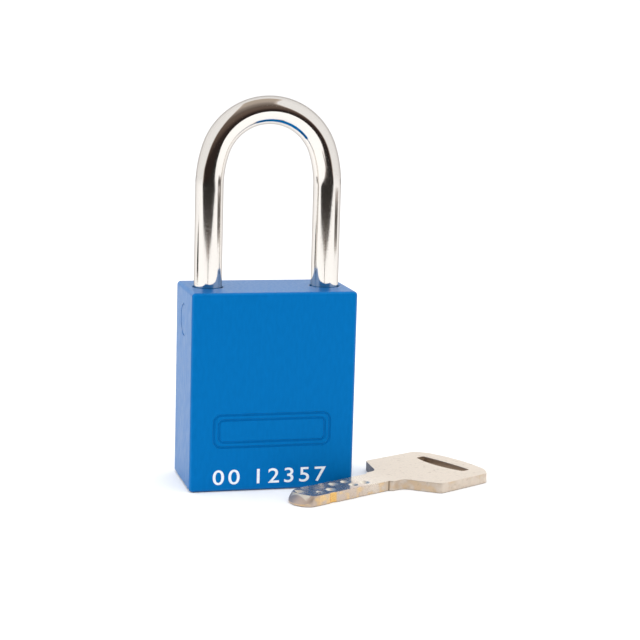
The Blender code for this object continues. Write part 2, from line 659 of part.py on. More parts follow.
def key_outline():
    """Half of the key from its rounded tip to the end of its bow, then the same mirrored.

    Along the key is X, and the blade's middle line is Y = 0. The bow's end is a shallow arc.
    """
    tip_curve = [
        (KEY_TIP + NOSE_LENGTH * (1 - math.cos(t)), BLADE_HALF * math.sin(t))
        for t in np.linspace(0, math.pi / 2, 8)
    ]
    shoulders = [
        (KEY_STOP, BLADE_HALF),
        (KEY_STOP + NECK_HALF - BLADE_HALF, NECK_HALF),
        (KEY_NECK_END - BOW_EASE, NECK_HALF),
        (KEY_NECK_END + BOW_EASE, NECK_HALF + BOW_RISE),
        (BOW_START - BOW_EASE, BOW_HALF - BOW_RISE),
        (BOW_START + BOW_EASE, BOW_HALF),
    ]
    corner_centre = (BOW_SIDE_END, BOW_HALF - BOW_CORNER)
    bow_corner = arc(corner_centre, BOW_CORNER, math.pi / 2, BOW_CORNER_END, 6)
    bow_end = [
        (KEY_END - BOW_END_RADIUS + math.sqrt(BOW_END_RADIUS**2 - y**2), y)
        for y in np.linspace(bow_corner[-1][1] - BOW_RISE, 0, 6)
    ]
    upper = tip_curve + shoulders + bow_corner + bow_end
    return upper + [(x, -y) for x, y in reversed(upper[1:-1])]


def bow_slot_outline():
    """The slot for a ring: long across the key, with blunt ends, and widest at its middle."""
    across = np.linspace(-SLOT_HALF_LENGTH, SLOT_HALF_LENGTH, 9)
    swell = 1 - (across / SLOT_HALF_LENGTH) ** 2
    outer = [(SLOT_MIDDLE + SLOT_END_HALF + SLOT_OUTER_SWELL * s, y) for s, y in zip(swell, across)]
    inner = [(SLOT_MIDDLE - SLOT_END_HALF - SLOT_INNER_SWELL * s, y) for s, y in zip(swell, across)]
    return outer + inner[::-1]


def make_key():
    """The key, lying flat beside the body, with dimples on both faces so that it fits either way up."""
    floor = BODY_BOTTOM
    rotation = (0, 0, KEY_TURN)
    location = KEY_ACROSS * KEY_OFFSET + KEY_DIRECTION * KEY_SLIDE
    outlines = [key_outline(), bow_slot_outline()]
    top = floor + KEY_THICKNESS
    key = plate("key", outlines, floor, top, "nickel_silver", location, rotation)
    cutters = []
    for face, (height, sign) in {"upper": (top, 1), "lower": (floor, -1)}.items():
        for number, (station, row, depth) in enumerate(PINS, 1):
            spot = location + KEY_DIRECTION * (KEY_TIP + FIRST_PIN + station * PIN_PITCH)
            spot += KEY_ACROSS * row * ROW_OFFSET
            outside = Vector((spot.x, spot.y, height + sign * DIMPLE_ABOVE))
            inside = Vector((spot.x, spot.y, height - sign * depth))
            radius = DIMPLE_RADIUS * depth / DIMPLE_DEEPEST + DIMPLE_RIM
            name = f"{face}_dimple_{number}"
            cutters.append(bar(name, radius, outside, inside, end_radius=DIMPLE_FLOOR, sides=12))
    for face, (height, sign) in {"upper": (top, 1), "lower": (floor, -1)}.items():
        wedge = block(f"{face}_nose_wedge", -Vector(NOSE_WEDGE), NOSE_WEDGE)
        wedge.rotation_euler = (0, -sign * NOSE_WEDGE_TURN, KEY_TURN)
        start = location + KEY_DIRECTION * (KEY_TIP - NOSE_WEDGE_OUT)
        wedge.location = (start.x, start.y, height + sign * NOSE_WEDGE_UP)
        cutters.append(wedge)
    combine(key, cutters)


def main():
    clear_scene()
    make_body()
    make_shackle()
    make_shackle_spring()
    make_balls_and_cam()
    make_cylinder()
    make_pins()
    make_key()


main()
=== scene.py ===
# %% [markdown]
# # A keyed safety padlock
# The padlock is a blue anodised aluminium block with a tall chromed shackle, and its dimple key lies in
# front of it. The CAD model has already settled every size. This script keeps those sizes and makes the
# surfaces that an eye sees: fine curves, deburred edges, engraving, and metals that look like themselves.
# Each step first says what the real piece is, then how it could be made, and why this way was chosen.

import json
import math

import bmesh
import bpy
import numpy as np
from mathutils import Matrix, Vector
from mathutils.geometry import delaunay_2d_cdt

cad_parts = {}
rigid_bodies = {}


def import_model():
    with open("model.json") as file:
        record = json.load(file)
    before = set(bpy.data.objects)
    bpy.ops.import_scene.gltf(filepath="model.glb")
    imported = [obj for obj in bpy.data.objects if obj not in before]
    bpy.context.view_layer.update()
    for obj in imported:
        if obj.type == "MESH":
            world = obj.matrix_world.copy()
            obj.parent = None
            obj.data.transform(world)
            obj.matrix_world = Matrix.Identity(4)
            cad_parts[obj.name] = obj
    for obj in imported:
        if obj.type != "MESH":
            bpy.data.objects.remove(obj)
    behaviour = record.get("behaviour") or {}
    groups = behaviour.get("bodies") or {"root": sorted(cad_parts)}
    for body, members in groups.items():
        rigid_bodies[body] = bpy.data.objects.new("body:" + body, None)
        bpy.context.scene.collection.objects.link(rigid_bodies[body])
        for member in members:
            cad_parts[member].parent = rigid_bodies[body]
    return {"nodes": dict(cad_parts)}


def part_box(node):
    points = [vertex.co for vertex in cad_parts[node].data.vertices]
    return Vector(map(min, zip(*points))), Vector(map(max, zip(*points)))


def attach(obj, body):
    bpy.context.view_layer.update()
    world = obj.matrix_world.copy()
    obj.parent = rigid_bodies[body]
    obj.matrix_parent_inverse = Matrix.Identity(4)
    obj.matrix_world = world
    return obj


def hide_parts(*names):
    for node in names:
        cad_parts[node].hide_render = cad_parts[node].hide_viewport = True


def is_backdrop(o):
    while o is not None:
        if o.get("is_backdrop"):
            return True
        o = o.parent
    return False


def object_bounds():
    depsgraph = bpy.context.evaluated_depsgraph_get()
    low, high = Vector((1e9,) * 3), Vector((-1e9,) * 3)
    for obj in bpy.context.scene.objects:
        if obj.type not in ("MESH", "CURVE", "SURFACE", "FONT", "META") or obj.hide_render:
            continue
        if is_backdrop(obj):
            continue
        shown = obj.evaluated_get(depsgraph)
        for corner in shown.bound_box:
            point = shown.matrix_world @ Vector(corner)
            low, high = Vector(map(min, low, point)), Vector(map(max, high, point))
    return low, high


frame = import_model()
cad_low, cad_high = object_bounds()
MM = 0.001
WELD = 1e-7
SHARP = math.radians(32.0)

# %% [markdown]
# ## Measures shared by several pieces
# A maker would take these from the drawing. Here the body, the shackle and the key are read from the
# frame's boxes, and the few sizes that a box can't tell, such as a bore's radius, are named once.

# %% Measures
body_low, body_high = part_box("lock_body")
shackle_low, shackle_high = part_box("shackle")
shell_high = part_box("cylinder_shell")[1]
key_low, key_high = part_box("key")
FLOOR_Z = body_low.z
ROD = 3.175 * MM
LEG_X = shackle_high.x - ROD
LEG_BORE = 3.45 * MM
BALL_Z = sum(corner.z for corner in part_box("locking_ball_toe")) / 2
BALL_BORE = 3.65 * MM
LIFT = 13.2 * MM
print("leg centre", round(LEG_X / MM, 2), "mm, ball height", round(BALL_Z / MM, 2), "mm")

# %% [markdown]
# ## Surfaces as whole arrays
# A surface is a grid of points, worked out for every row and column at once. Where a grid closes on itself
# its last column joins its first. Seams and poles are welded afterwards, and the normals are then made to
# face outwards.


# %% Helpers for surfaces
def grid_quads(rows, columns, wrap_rows=False, wrap_columns=False, first=0):
    """Corner numbers of a grid's quads: point (i, j) is number first + i * columns + j."""
    i = np.arange(rows if wrap_rows else rows - 1)[:, None]
    j = np.arange(columns if wrap_columns else columns - 1)[None, :]
    below, beside = (i + 1) % rows, (j + 1) % columns
    corners = np.stack(
        [i * columns + j, below * columns + j, below * columns + beside, i * columns + beside], axis=-1
    )
    return corners.reshape(-1, 4) + first


def solid(name, grids, triangles=None):
    """One closed mesh from several grids, given as (points, wrap_rows, wrap_columns), and loose triangles."""
    points, quads, count = [], [], 0
    for grid, wrap_rows, wrap_columns in grids:
        rows, columns = grid.shape[:2]
        quads += grid_quads(rows, columns, wrap_rows, wrap_columns, count).tolist()
        points.append(grid.reshape(-1, 3))
        count += rows * columns
    for corners, numbers in triangles or []:
        quads += (np.asarray(numbers) + count).tolist()
        points.append(np.asarray(corners, float))
        count += len(corners)
    data = bpy.data.meshes.new(name)
    data.from_pydata(np.concatenate(points).tolist(), [], quads)
    shape = bmesh.new()
    shape.from_mesh(data)
    bmesh.ops.remove_doubles(shape, verts=shape.verts, dist=WELD)
    bmesh.ops.dissolve_degenerate(shape, edges=shape.edges, dist=WELD)
    bmesh.ops.recalc_face_normals(shape, faces=shape.faces)
    shape.to_mesh(data)
    shape.free()
    data.shade_smooth()
    data.set_sharp_from_angle(angle=SHARP)
    item = bpy.data.objects.new(name, data)
    bpy.context.scene.collection.objects.link(item)
    return item


def turned(name, profile, centre, axis="Z", around=96):
    """A profile of (radius, height) spun about an axis.

    Point = (radius cos a, radius sin a, height), with a going round the circle.
    """
    radius, height = np.asarray(profile, float).T
    a = np.linspace(0, 2 * np.pi, around, endpoint=False)
    p, q = radius[:, None] * np.cos(a), radius[:, None] * np.sin(a)
    along = np.broadcast_to(height[:, None], p.shape)
    order = {"Z": (p, q, along), "X": (along, p, q), "Y": (q, along, p)}[axis]
    return solid(name, [(np.stack(order, axis=-1) + np.array(centre), False, True)])


def rod_profile(radius, low, high):
    """A plain closed cylinder's profile, from its low end to its high end."""
    return [(0, low), (radius, low), (radius, high), (0, high)]


def arc(centre, radius, start, end, count):
    """Points (cx + r cos a, cy + r sin a) for a from start to end."""
    a = np.linspace(start, end, count)
    return np.stack([centre[0] + radius * np.cos(a), centre[1] + radius * np.sin(a)], axis=-1)


def standing(outline, low, high):
    """A closed flat outline carried straight up between two heights, its ends filled with triangles."""
    outline = np.asarray(outline, float)
    ring = [np.column_stack([outline, np.full(len(outline), z)]) for z in (low, high)]
    wall = (np.stack(ring), False, True)
    return [wall], [filled(ring[0], [outline]), filled(ring[1], [outline])]


def filled(corners, loops):
    """Triangles that fill the first flat loop and leave the others as holes, at the corners' own height."""
    numbers = np.split(np.arange(sum(map(len, loops))), np.cumsum([len(loop) for loop in loops])[:-1])
    rims = [rim.tolist() for rim in numbers]
    found, _, faces, *_ = delaunay_2d_cdt(np.concatenate(loops).tolist(), [], rims, 2, 1e-9)
    found = np.array(found)
    return np.column_stack([found, np.full(len(found), corners[0][2])]), faces


def carve(item, cutters):
    """Takes the cutters away from a piece with exact Booleans, and keeps the result as its mesh."""
    for cutter in cutters:
        step = item.modifiers.new(cutter.name, "BOOLEAN")
        step.operation, step.solver, step.object = "DIFFERENCE", "EXACT", cutter
    bpy.context.view_layer.update()
    seen = item.evaluated_get(bpy.context.evaluated_depsgraph_get())
    data = bpy.data.meshes.new_from_object(seen)
    item.modifiers.clear()
    item.data = data
    data.shade_smooth()
    data.set_sharp_from_angle(angle=SHARP)
    for cutter in cutters:
        bpy.data.objects.remove(cutter, do_unlink=True)
    return item


def even_shading(item):
    """Weighs normals by face area, so that a flat face stays flat up to its rounded rim."""
    step = item.modifiers.new("even shading", "WEIGHTED_NORMAL")
    step.mode, step.weight, step.keep_sharp = "FACE_AREA", 50, True
    return item


print("helpers ready")

# %% [markdown]
# ## Shader groups
# Several metals share the same effects: a directional machining grain, small pits, and a way to tell an
# edge or a side from a face. Each effect is one node group with named inputs, built once and given other
# values in each metal. The shaders themselves stay in the materials.


# %% Helpers for nodes
class Wires:
    """Adds nodes to a tree and joins them, so that a shader reads as a short list of steps."""

    def __init__(self, tree):
        self.tree = tree

    def node(self, kind, inputs=None, **settings):
        """A new node, with its inputs fed and its other settings set."""
        made = self.tree.nodes.new(kind)
        for key, value in settings.items():
            setattr(made, key, value)
        for key, value in (inputs or {}).items():
            self.feed(made.inputs[key], value)
        return made

    def feed(self, socket, value):
        """Joins a socket to another one, or sets it to a plain value."""
        if isinstance(value, bpy.types.NodeSocket):
            self.tree.links.new(value, socket)
        else:
            socket.default_value = value

    def math(self, operation, a, b=0.0):
        """One step of arithmetic on one or two values."""
        return self.node("ShaderNodeMath", {0: a, 1: b}, operation=operation).outputs[0]

    def span(self, value, low, high, to_low=0.0, to_high=1.0):
        """Maps a value from one span to another, and holds it inside."""
        spread = {"Value": value, "From Min": low, "From Max": high, "To Min": to_low, "To Max": to_high}
        return self.node("ShaderNodeMapRange", spread).outputs[0]

    def blend(self, share, first, second):
        """A mix of two colours: the first where the share is 0, the second where it is 1."""
        made = self.node("ShaderNodeMix", {0: share, 6: first, 7: second}, data_type="RGBA")
        return made.outputs[2]


def new_group(name, inputs, outputs):
    """A shader node group with float inputs given as (name, default), and float outputs."""
    tree = bpy.data.node_groups.new(name, "ShaderNodeTree")
    for label, default in inputs:
        socket = tree.interface.new_socket(label, in_out="INPUT", socket_type="NodeSocketFloat")
        socket.default_value = default
    for label in outputs:
        tree.interface.new_socket(label, in_out="OUTPUT", socket_type="NodeSocketFloat")
    wires = Wires(tree)
    return tree, wires, wires.node("NodeGroupInput").outputs, wires.node("NodeGroupOutput").inputs


# %% The grain group
grain, w, given, out = new_group(
    "machining grain", [("Scale X", 900), ("Scale Y", 900), ("Scale Z", 900), ("Detail", 3)], ["Grain"]
)
place = w.node("ShaderNodeTexCoord").outputs["Object"]
stretch = w.node("ShaderNodeCombineXYZ", {0: given["Scale X"], 1: given["Scale Y"], 2: given["Scale Z"]})
stretched = w.node("ShaderNodeVectorMath", {0: place, 1: stretch.outputs[0]}, operation="MULTIPLY")
settings = {"Vector": stretched.outputs[0], "Scale": 1.0, "Detail": given["Detail"]}
noise = w.node("ShaderNodeTexNoise", settings)
w.feed(out["Grain"], noise.outputs[0])
print("group:", grain.name)

# %% The pit group
pits, w, given, out = new_group("small pits", [("Scale", 1200), ("Share", 0.3)], ["Pits"])
place = w.node("ShaderNodeTexCoord").outputs["Object"]
noise = w.node("ShaderNodeTexNoise", {"Vector": place, "Scale": given["Scale"], "Detail": 2.0})
edge = w.math("SUBTRACT", 0.78, w.math("MULTIPLY", given["Share"], 0.35))
w.feed(out["Pits"], w.span(noise.outputs[0], edge, w.math("ADD", edge, 0.06)))
print("group:", pits.name)

# %% The box edge group
box_edges, w, given, out = new_group(
    "box edges",
    [("Half X", 1), ("Half Y", 1), ("Half Z", 1), ("Middle Z", 0), ("Reach", 0.001)],
    ["Edges"],
)
place = w.node("ShaderNodeSeparateXYZ", {0: w.node("ShaderNodeTexCoord").outputs["Object"]}).outputs
high = w.math("SUBTRACT", place[2], given["Middle Z"])
gaps = [
    w.math("SUBTRACT", given["Half X"], w.math("ABSOLUTE", place[0])),
    w.math("SUBTRACT", given["Half Y"], w.math("ABSOLUTE", place[1])),
    w.math("SUBTRACT", given["Half Z"], w.math("ABSOLUTE", high)),
]
nearer, farther = w.math("MINIMUM", gaps[0], gaps[1]), w.math("MAXIMUM", gaps[0], gaps[1])
second = w.math("MAXIMUM", nearer, w.math("MINIMUM", farther, gaps[2]))
w.feed(out["Edges"], w.math("SUBTRACT", 1.0, w.span(second, 0.0, given["Reach"])))
print("group:", box_edges.name)


# %% A metal made of the shared effects
def metal(name, colour, roughness, metallic=1.0, grain_scale=(1200, 1200, 1200), grain_depth=4e-6, **more):
    """A Principled BSDF whose colour, roughness and relief all follow the grain.

    Returns the material, its wires, its shader, and the sockets of its tint and roughness.
    """
    material = bpy.data.materials.new(name)
    material.use_nodes = True
    wires = Wires(material.node_tree)
    shader = material.node_tree.nodes["Principled BSDF"]
    shader.inputs["Metallic"].default_value = metallic
    shader.inputs["IOR"].default_value = more.get("ior", 1.5)
    shader.inputs["Specular Tint"].default_value = (*more.get("edge_tint", (1, 1, 1)), 1)
    lines = wires.node("ShaderNodeGroup", node_tree=grain)
    for label, value in zip(("Scale X", "Scale Y", "Scale Z"), grain_scale):
        lines.inputs[label].default_value = value
    value = lines.outputs["Grain"]
    spots = wires.node("ShaderNodeGroup", node_tree=pits)
    spots.inputs["Scale"].default_value = more.get("pit_scale", 1400)
    spots.inputs["Share"].default_value = more.get("pit_share", 0.2)
    darker = tuple(c * more.get("shade", 0.9) for c in colour)
    tint = wires.blend(wires.span(value, 0.35, 0.65), (*darker, 1), (*colour, 1))
    spread = more.get("spread", 0.06)
    rough = wires.span(value, 0.3, 0.7, roughness - spread, roughness + spread)
    hollows = wires.math("MULTIPLY", spots.outputs["Pits"], more.get("pit_depth", 0.5))
    height = wires.math("SUBTRACT", value, hollows)
    bump = wires.node("ShaderNodeBump", {"Height": height, "Strength": 1.0, "Distance": grain_depth})
    wires.feed(shader.inputs["Base Color"], tint)
    wires.feed(shader.inputs["Roughness"], rough)
    wires.feed(shader.inputs["Normal"], bump.outputs[0])
    return material, wires, shader, tint, rough


# %% [markdown]
# ## The blue anodised skin
# Anodising grows a clear, hard oxide on the aluminium and fills its pores with dye. Seen straight on it is
# a deep blue, and at a low angle the oxide mirrors the room, so that the side and the top turn pale. A
# dielectric with a blue body gives exactly that. The dye is thinner on the edges, and the block keeps a
# faint grain from tumbling.

# %% Blue anodised aluminium
BLUE, THIN_DYE, PAINTED_FOOT_SHADOW = (0.0006, 0.140, 0.426), (0.02, 0.26, 0.60, 1), (0.002, 0.03, 0.11, 1)
WORN_REACH, FOOT_LOW, FOOT_HIGH = 0.5 * MM, body_low.z + 0.1 * MM, body_low.z + 0.5 * MM
blue, w, shader, tint, rough = metal(
    "blue anodised aluminium", BLUE, 0.36, metallic=0.0, grain_scale=(1500, 1500, 420), grain_depth=3e-6,
    shade=0.93, edge_tint=(0.02, 0.35, 0.8), ior=1.62,
)
place = w.node("ShaderNodeTexCoord").outputs["Object"]
worn = w.node("ShaderNodeGroup", node_tree=box_edges)
half_z = -body_low.z / 2
sizes = (body_high.x, body_high.y, half_z, -half_z, WORN_REACH)
for label, value in zip(("Half X", "Half Y", "Half Z", "Middle Z", "Reach"), sizes):
    worn.inputs[label].default_value = value
broad = w.node("ShaderNodeTexNoise", {"Vector": place, "Scale": 90.0})
share = w.math("MULTIPLY", worn.outputs["Edges"], w.span(broad.outputs[0], 0.35, 0.65, 0.1, 0.5))
skin_colour = w.blend(share, tint, THIN_DYE)
# Painted contact shadow: the blue darkens over the lowest half millimetre, where the block meets the floor.
height = w.node("ShaderNodeSeparateXYZ", {0: place}).outputs[2]
painted_foot_shadow = w.math("SUBTRACT", 1.0, w.span(height, FOOT_LOW, FOOT_HIGH))
w.feed(shader.inputs["Base Color"], w.blend(w.math("MULTIPLY", painted_foot_shadow, 0.8), skin_colour, PAINTED_FOOT_SHADOW))
print("material:", blue.name)

# %% [markdown]
# ## The other metals
# The shackle is steel with bright chrome plate, so it is almost a mirror with a fine orange peel. The key
# and the lock cylinder are nickel silver and plated brass, which are warmer and duller. The inner steel
# pieces are ground, and the springs are drawn wire with a darker, oiled skin.

# %% Chrome, brass and steel
chrome = metal(
    "bright chrome plate", (0.81, 0.775, 0.735), 0.07, grain_scale=(1800, 1800, 5200), grain_depth=1.1e-6,
    shade=0.96, spread=0.03, pit_scale=900, pit_share=0.16, pit_depth=0.7, edge_tint=(0.42, 0.40, 0.39),
)[0]
plated = metal(
    "satin plated brass", (0.80, 0.74, 0.63), 0.32, grain_scale=(2600, 500, 500), grain_depth=3e-6
)[0]
brass = metal("turned brass", (0.83, 0.60, 0.28), 0.26, grain_scale=(600, 2600, 2600), grain_depth=3e-6)[0]
steel = metal("ground steel", (0.62, 0.61, 0.60), 0.22, grain_scale=(2400, 2400, 700), grain_depth=2e-6)[0]
spring_wire = metal("oiled spring wire", (0.40, 0.40, 0.41), 0.30, grain_scale=(3000, 900, 900))[0]
zinc = metal("zinc plated steel", (0.66, 0.68, 0.70), 0.30, grain_scale=(1500, 1500, 1500))[0]

# %% White marking
white_mark = metal("white laser mark", (0.86, 0.91, 0.96), 0.6, metallic=0.0, grain_depth=2e-6, shade=0.9)[0]
print("materials:", len(bpy.data.materials))

# %% [markdown]
# ## The body
# The real body is sawn from aluminium bar, and its edges are rounded before it is anodised. A cube with a
# Bevel modifier would do. Here it is one formula: a point on a box is pulled to the inner box, and pushed
# out again by the edge's radius along the line between the two, which rounds every edge and corner evenly.

# %% The rounded block
EDGE = 0.9 * MM
EDGE_STEPS = 6


def rounded_block(name, low, high, radius, steps):
    """Point = nearest point of the inner box + radius * direction from there to the outer box."""
    low, high = np.array(low), np.array(high)
    middle, half = (low + high) / 2, (high - low) / 2
    rise = radius * np.tan(np.linspace(0, np.pi / 4, steps + 1))
    lines = [np.concatenate([-(h - radius) - rise[::-1], (h - radius) + rise]) for h in half]
    sides = []
    for axis in range(3):
        u, v = [k for k in range(3) if k != axis]
        first, second = np.meshgrid(lines[u], lines[v], indexing="ij")
        for sign in (-1, 1):
            face = np.empty(first.shape + (3,))
            face[..., u], face[..., v], face[..., axis] = first, second, sign * half[axis]
            inner = np.clip(face, -(half - radius), half - radius)
            away = face - inner
            away /= np.linalg.norm(away, axis=-1, keepdims=True)
            sides.append((middle + inner + radius * away, False, False))
    return solid(name, sides)


body = rounded_block("padlock_body", body_low, body_high, EDGE, EDGE_STEPS)
print("block:", len(body.data.polygons), "faces")

# %% [markdown]
# ### Bores
# The shackle's two legs, the ball bore from the left side, the cam's chamber and the lock cylinder's
# stepped bore are all drilled or milled from outside. Each cutter is a turned or a standing solid, and the
# legs' bores have a small chamfer at their mouths where the tool broke the edge.

# %% Cutters for the bores
PAST = 1.0 * MM
CHAMFER = 0.18 * MM
HEEL_FLOOR, TOE_FLOOR, SCREW_HOLE = -41.5 * MM, -15.4 * MM, 1.55 * MM
CAM_CHAMBER, CAM_ROOF, BALL_BORE_END = 6.0 * MM, -3.2 * MM, 11.5 * MM
SHELL_BORE, HALF_RIB, RIB_REACH, RIB_CORNER = 6.65 * MM, 4.15 * MM, 16.2 * MM, 1.2 * MM
BORE_TOP = shell_high.z + 0.15 * MM


def bore_profile(radius, floor, mouth, chamfer):
    """A bore that opens upwards, with a chamfer at its mouth."""
    wide, above = radius + chamfer + PAST, mouth + PAST
    return [(0, floor), (radius, floor), (radius, mouth - chamfer), (wide, above), (0, above)]


def rib_outline(radius, half_rib, reach, corner):
    """A circle joined to a rib with two rounded corners, which runs out towards -X."""
    join = math.asin(half_rib / radius)
    return np.concatenate(
        [
            arc((0, 0), radius, join - np.pi, np.pi - join, 97),
            arc((corner - reach, half_rib - corner), corner, np.pi / 2, np.pi, 9),
            arc((corner - reach, corner - half_rib), corner, np.pi, 1.5 * np.pi, 9),
        ]
    )


shell_outline = rib_outline(SHELL_BORE, HALF_RIB, RIB_REACH, RIB_CORNER)
cylinder_walls, cylinder_ends = standing(shell_outline, body_low.z - PAST, BORE_TOP)
screw_low, screw_high = BORE_TOP - PAST, TOE_FLOOR + PAST
cutters = [
    turned("heel bore", bore_profile(LEG_BORE, HEEL_FLOOR, 0, CHAMFER), (LEG_X, 0, 0)),
    turned("toe bore", bore_profile(LEG_BORE, TOE_FLOOR, 0, CHAMFER), (-LEG_X, 0, 0)),
    solid("cylinder bore", cylinder_walls, cylinder_ends),
    turned("cam chamber", rod_profile(CAM_CHAMBER, BORE_TOP - PAST, CAM_ROOF), (0, 0, 0)),
    turned("ball bore", rod_profile(BALL_BORE, body_low.x - PAST, BALL_BORE_END), (0, 0, BALL_Z), "X"),
    turned("screw hole", rod_profile(SCREW_HOLE, screw_low, screw_high), (-LEG_X, 0, 0), around=48),
]
print("bores:", [cutter.name for cutter in cutters])

# %% [markdown]
# ### The engraved name panel
# A mark on such a padlock is engraved with a small ball-nosed cutter that leaves a round-bottomed line.
# Here the mark is a plain name panel: two rounded rectangles, one inside the other. Each line is the tool's
# round section carried along its path, a little in front of the face, and taken away from the block.

# %% Engraving cutters
PANEL_MIDDLE, PANEL_HALF, PANEL_CORNER = (-0.2 * MM, -31.4 * MM), (13.4 * MM, 3.7 * MM), 1.7 * MM
PANEL_INSET, TOOL, LINE_DEPTH = 1.15 * MM, 0.30 * MM, 0.25 * MM


def rounded_rectangle(middle, half, corner, count=13):
    """Four quarter circles joined by straight lines, counter-clockwise."""
    x, z = half[0] - corner, half[1] - corner
    quarters = [((x, z), 0), ((-x, z), 1), ((-x, -z), 2), ((x, -z), 3)]
    parts = [arc(c, corner, k * np.pi / 2, (k + 1) * np.pi / 2, count) for c, k in quarters]
    return np.concatenate(parts) + np.array(middle)


def normals_of(path):
    """Unit outward normals of a closed counter-clockwise path, square to the chord between neighbours."""
    chord = np.roll(path, -1, axis=0) - np.roll(path, 1, axis=0)
    normal = np.stack([chord[:, 1], -chord[:, 0]], axis=-1)
    return normal / np.linalg.norm(normal, axis=-1, keepdims=True)


def engraving(name, path, tool, depth, face_y):
    """The tool's circle carried along a path in the XZ plane.

    Point = path + tool cos a * normal, with y = the tool's axis + tool sin a.
    """
    a = np.linspace(0, 2 * np.pi, 16, endpoint=False)
    out = normals_of(path)
    x = path[:, :1] + tool * np.cos(a) * out[:, :1]
    z = path[:, 1:] + tool * np.cos(a) * out[:, 1:]
    y = np.broadcast_to(face_y - tool + depth + tool * np.sin(a), x.shape)
    return solid(name, [(np.stack([x, y, z], axis=-1), True, True)])


front_y = body_low.y
for k, inset in enumerate((0.0, PANEL_INSET)):
    size = (PANEL_HALF[0] - inset, PANEL_HALF[1] - inset)
    line = rounded_rectangle(PANEL_MIDDLE, size, PANEL_CORNER - inset / 2)
    cutters.append(engraving(f"panel line {k}", line, TOOL, LINE_DEPTH, front_y))
body = even_shading(carve(body, cutters))
print("body:", len(body.data.polygons), "faces")

# %% [markdown]
# ### The number
# The number is printed or laser-marked in white. A row of plain figures from Blender's own font is turned
# into a mesh, stretched to the size it has on the face, and stands a hair proud of it.

# %% The number
NUMBER_LEFT, NUMBER_RIGHT, NUMBER_LOW, NUMBER_HIGH = -13.7 * MM, 12.6 * MM, -43.75 * MM, -40.3 * MM
MARK_THICK = 0.02 * MM
FIGURES, LETTER_SPACE, WORD_SPACE, STROKE_SWELL = "00 12357", 1.25, 0.8, 0.006
text = bpy.data.curves.new("number", "FONT")
text.body, text.space_character, text.space_word = FIGURES, LETTER_SPACE, WORD_SPACE
text.resolution_u, text.offset, text.extrude = 8, STROKE_SWELL, MARK_THICK
holder = bpy.data.objects.new("number", text)
bpy.context.scene.collection.objects.link(holder)
bpy.context.view_layer.update()
mark = bpy.data.meshes.new_from_object(holder.evaluated_get(bpy.context.evaluated_depsgraph_get()))
bpy.data.objects.remove(holder, do_unlink=True)
print("figures:", len(mark.vertices), "points")

# %% The number on the face
spots = np.empty(len(mark.vertices) * 3)
mark.vertices.foreach_get("co", spots)
spots = spots.reshape(-1, 3)
low, high = spots.min(0), spots.max(0)
unit = (spots - low) / (high - low)
placed = np.column_stack(
    [
        NUMBER_LEFT + unit[:, 0] * (NUMBER_RIGHT - NUMBER_LEFT),
        front_y - (unit[:, 2] - 0.25) * 2 * MARK_THICK,
        NUMBER_LOW + unit[:, 1] * (NUMBER_HIGH - NUMBER_LOW),
    ]
)
mark.vertices.foreach_set("co", placed.ravel())
shape = bmesh.new()
shape.from_mesh(mark)
bmesh.ops.remove_doubles(shape, verts=shape.verts, dist=WELD)
bmesh.ops.recalc_face_normals(shape, faces=shape.faces)
shape.to_mesh(mark)
shape.free()
number = bpy.data.objects.new("white_number", mark)
bpy.context.scene.collection.objects.link(number)
print("number:", len(mark.polygons), "faces")

# %% [markdown]
# ## The ball bore's plug
# The balls go in through the left side, and a disc of the same metal is pressed in after them. It shows
# only as a faint ring, so its rim has a small chamfer and its face a shallow turned dish.

# %% The plug
PLUG_GAP, PLUG_EDGE = 0.05 * MM, 0.15 * MM
PLUG_FACE, PLUG_BACK, PLUG_RADIUS = body_low.x + PLUG_GAP, -LEG_X - LEG_BORE - 0.2 * MM, BALL_BORE - PLUG_GAP
dish = np.linspace(0, 1, 9)
plug_profile = [(PLUG_RADIUS * 0.9 * t, PLUG_FACE + PLUG_GAP * (1 - t * t)) for t in dish]
plug_profile += [(PLUG_RADIUS - PLUG_EDGE, PLUG_FACE), (PLUG_RADIUS, PLUG_FACE + PLUG_EDGE)]
plug_profile += [(PLUG_RADIUS, PLUG_BACK), (0, PLUG_BACK)]
ball_plug = even_shading(turned("ball_bore_disc", plug_profile, (0, 0, BALL_Z), axis="X"))
print("disc:", len(ball_plug.data.polygons), "faces")

# %% [markdown]
# ## The shackle
# The real shackle is a rod bent over a former, then notched for the balls, hardened and chromed. A curve
# with a bevel would give the rod, but not the notches. Here the rod's radius is a function of the place
# along it and the angle round it, and every cut is a limit on that radius: a ball notch stops it at the
# notch's cylinder, the flat at a plane, and the swivel groove at a ring all the way round.

# %% The shackle's middle line
CROWN_RADIUS, CROWN_HALF, FOOT_Z = 13.0 * MM, math.radians(72.0), 22.9 * MM
TOE_END, HEEL_END = -12.6 * MM, shackle_low.z
END_CHAMFER = 0.7 * MM
NOTCH = 3.6 * MM
NOTCH_AXIS = 5.575 * MM  # from the leg's axis to the locked ball's
NOTCH_EDGE = math.sqrt(NOTCH**2 - (NOTCH_AXIS - ROD) ** 2)
FLAT = 2.575 * MM  # from the leg's axis to the heel's flat
GROOVE_Z = BALL_Z - LIFT


def leg_heights(end, centres):
    """Heights up a leg: close together at the cuts, exact at each cut's edge, and wider apart above."""
    marks = [c + s * NOTCH_EDGE for c in centres for s in (-1, 1)] + list(centres)
    close = np.arange(end + END_CHAMFER, -3.5 * MM, 0.14 * MM)
    wide = np.linspace(-3.5 * MM, FOOT_Z, 40)
    return np.unique(np.concatenate([close, marks, wide]).round(9))


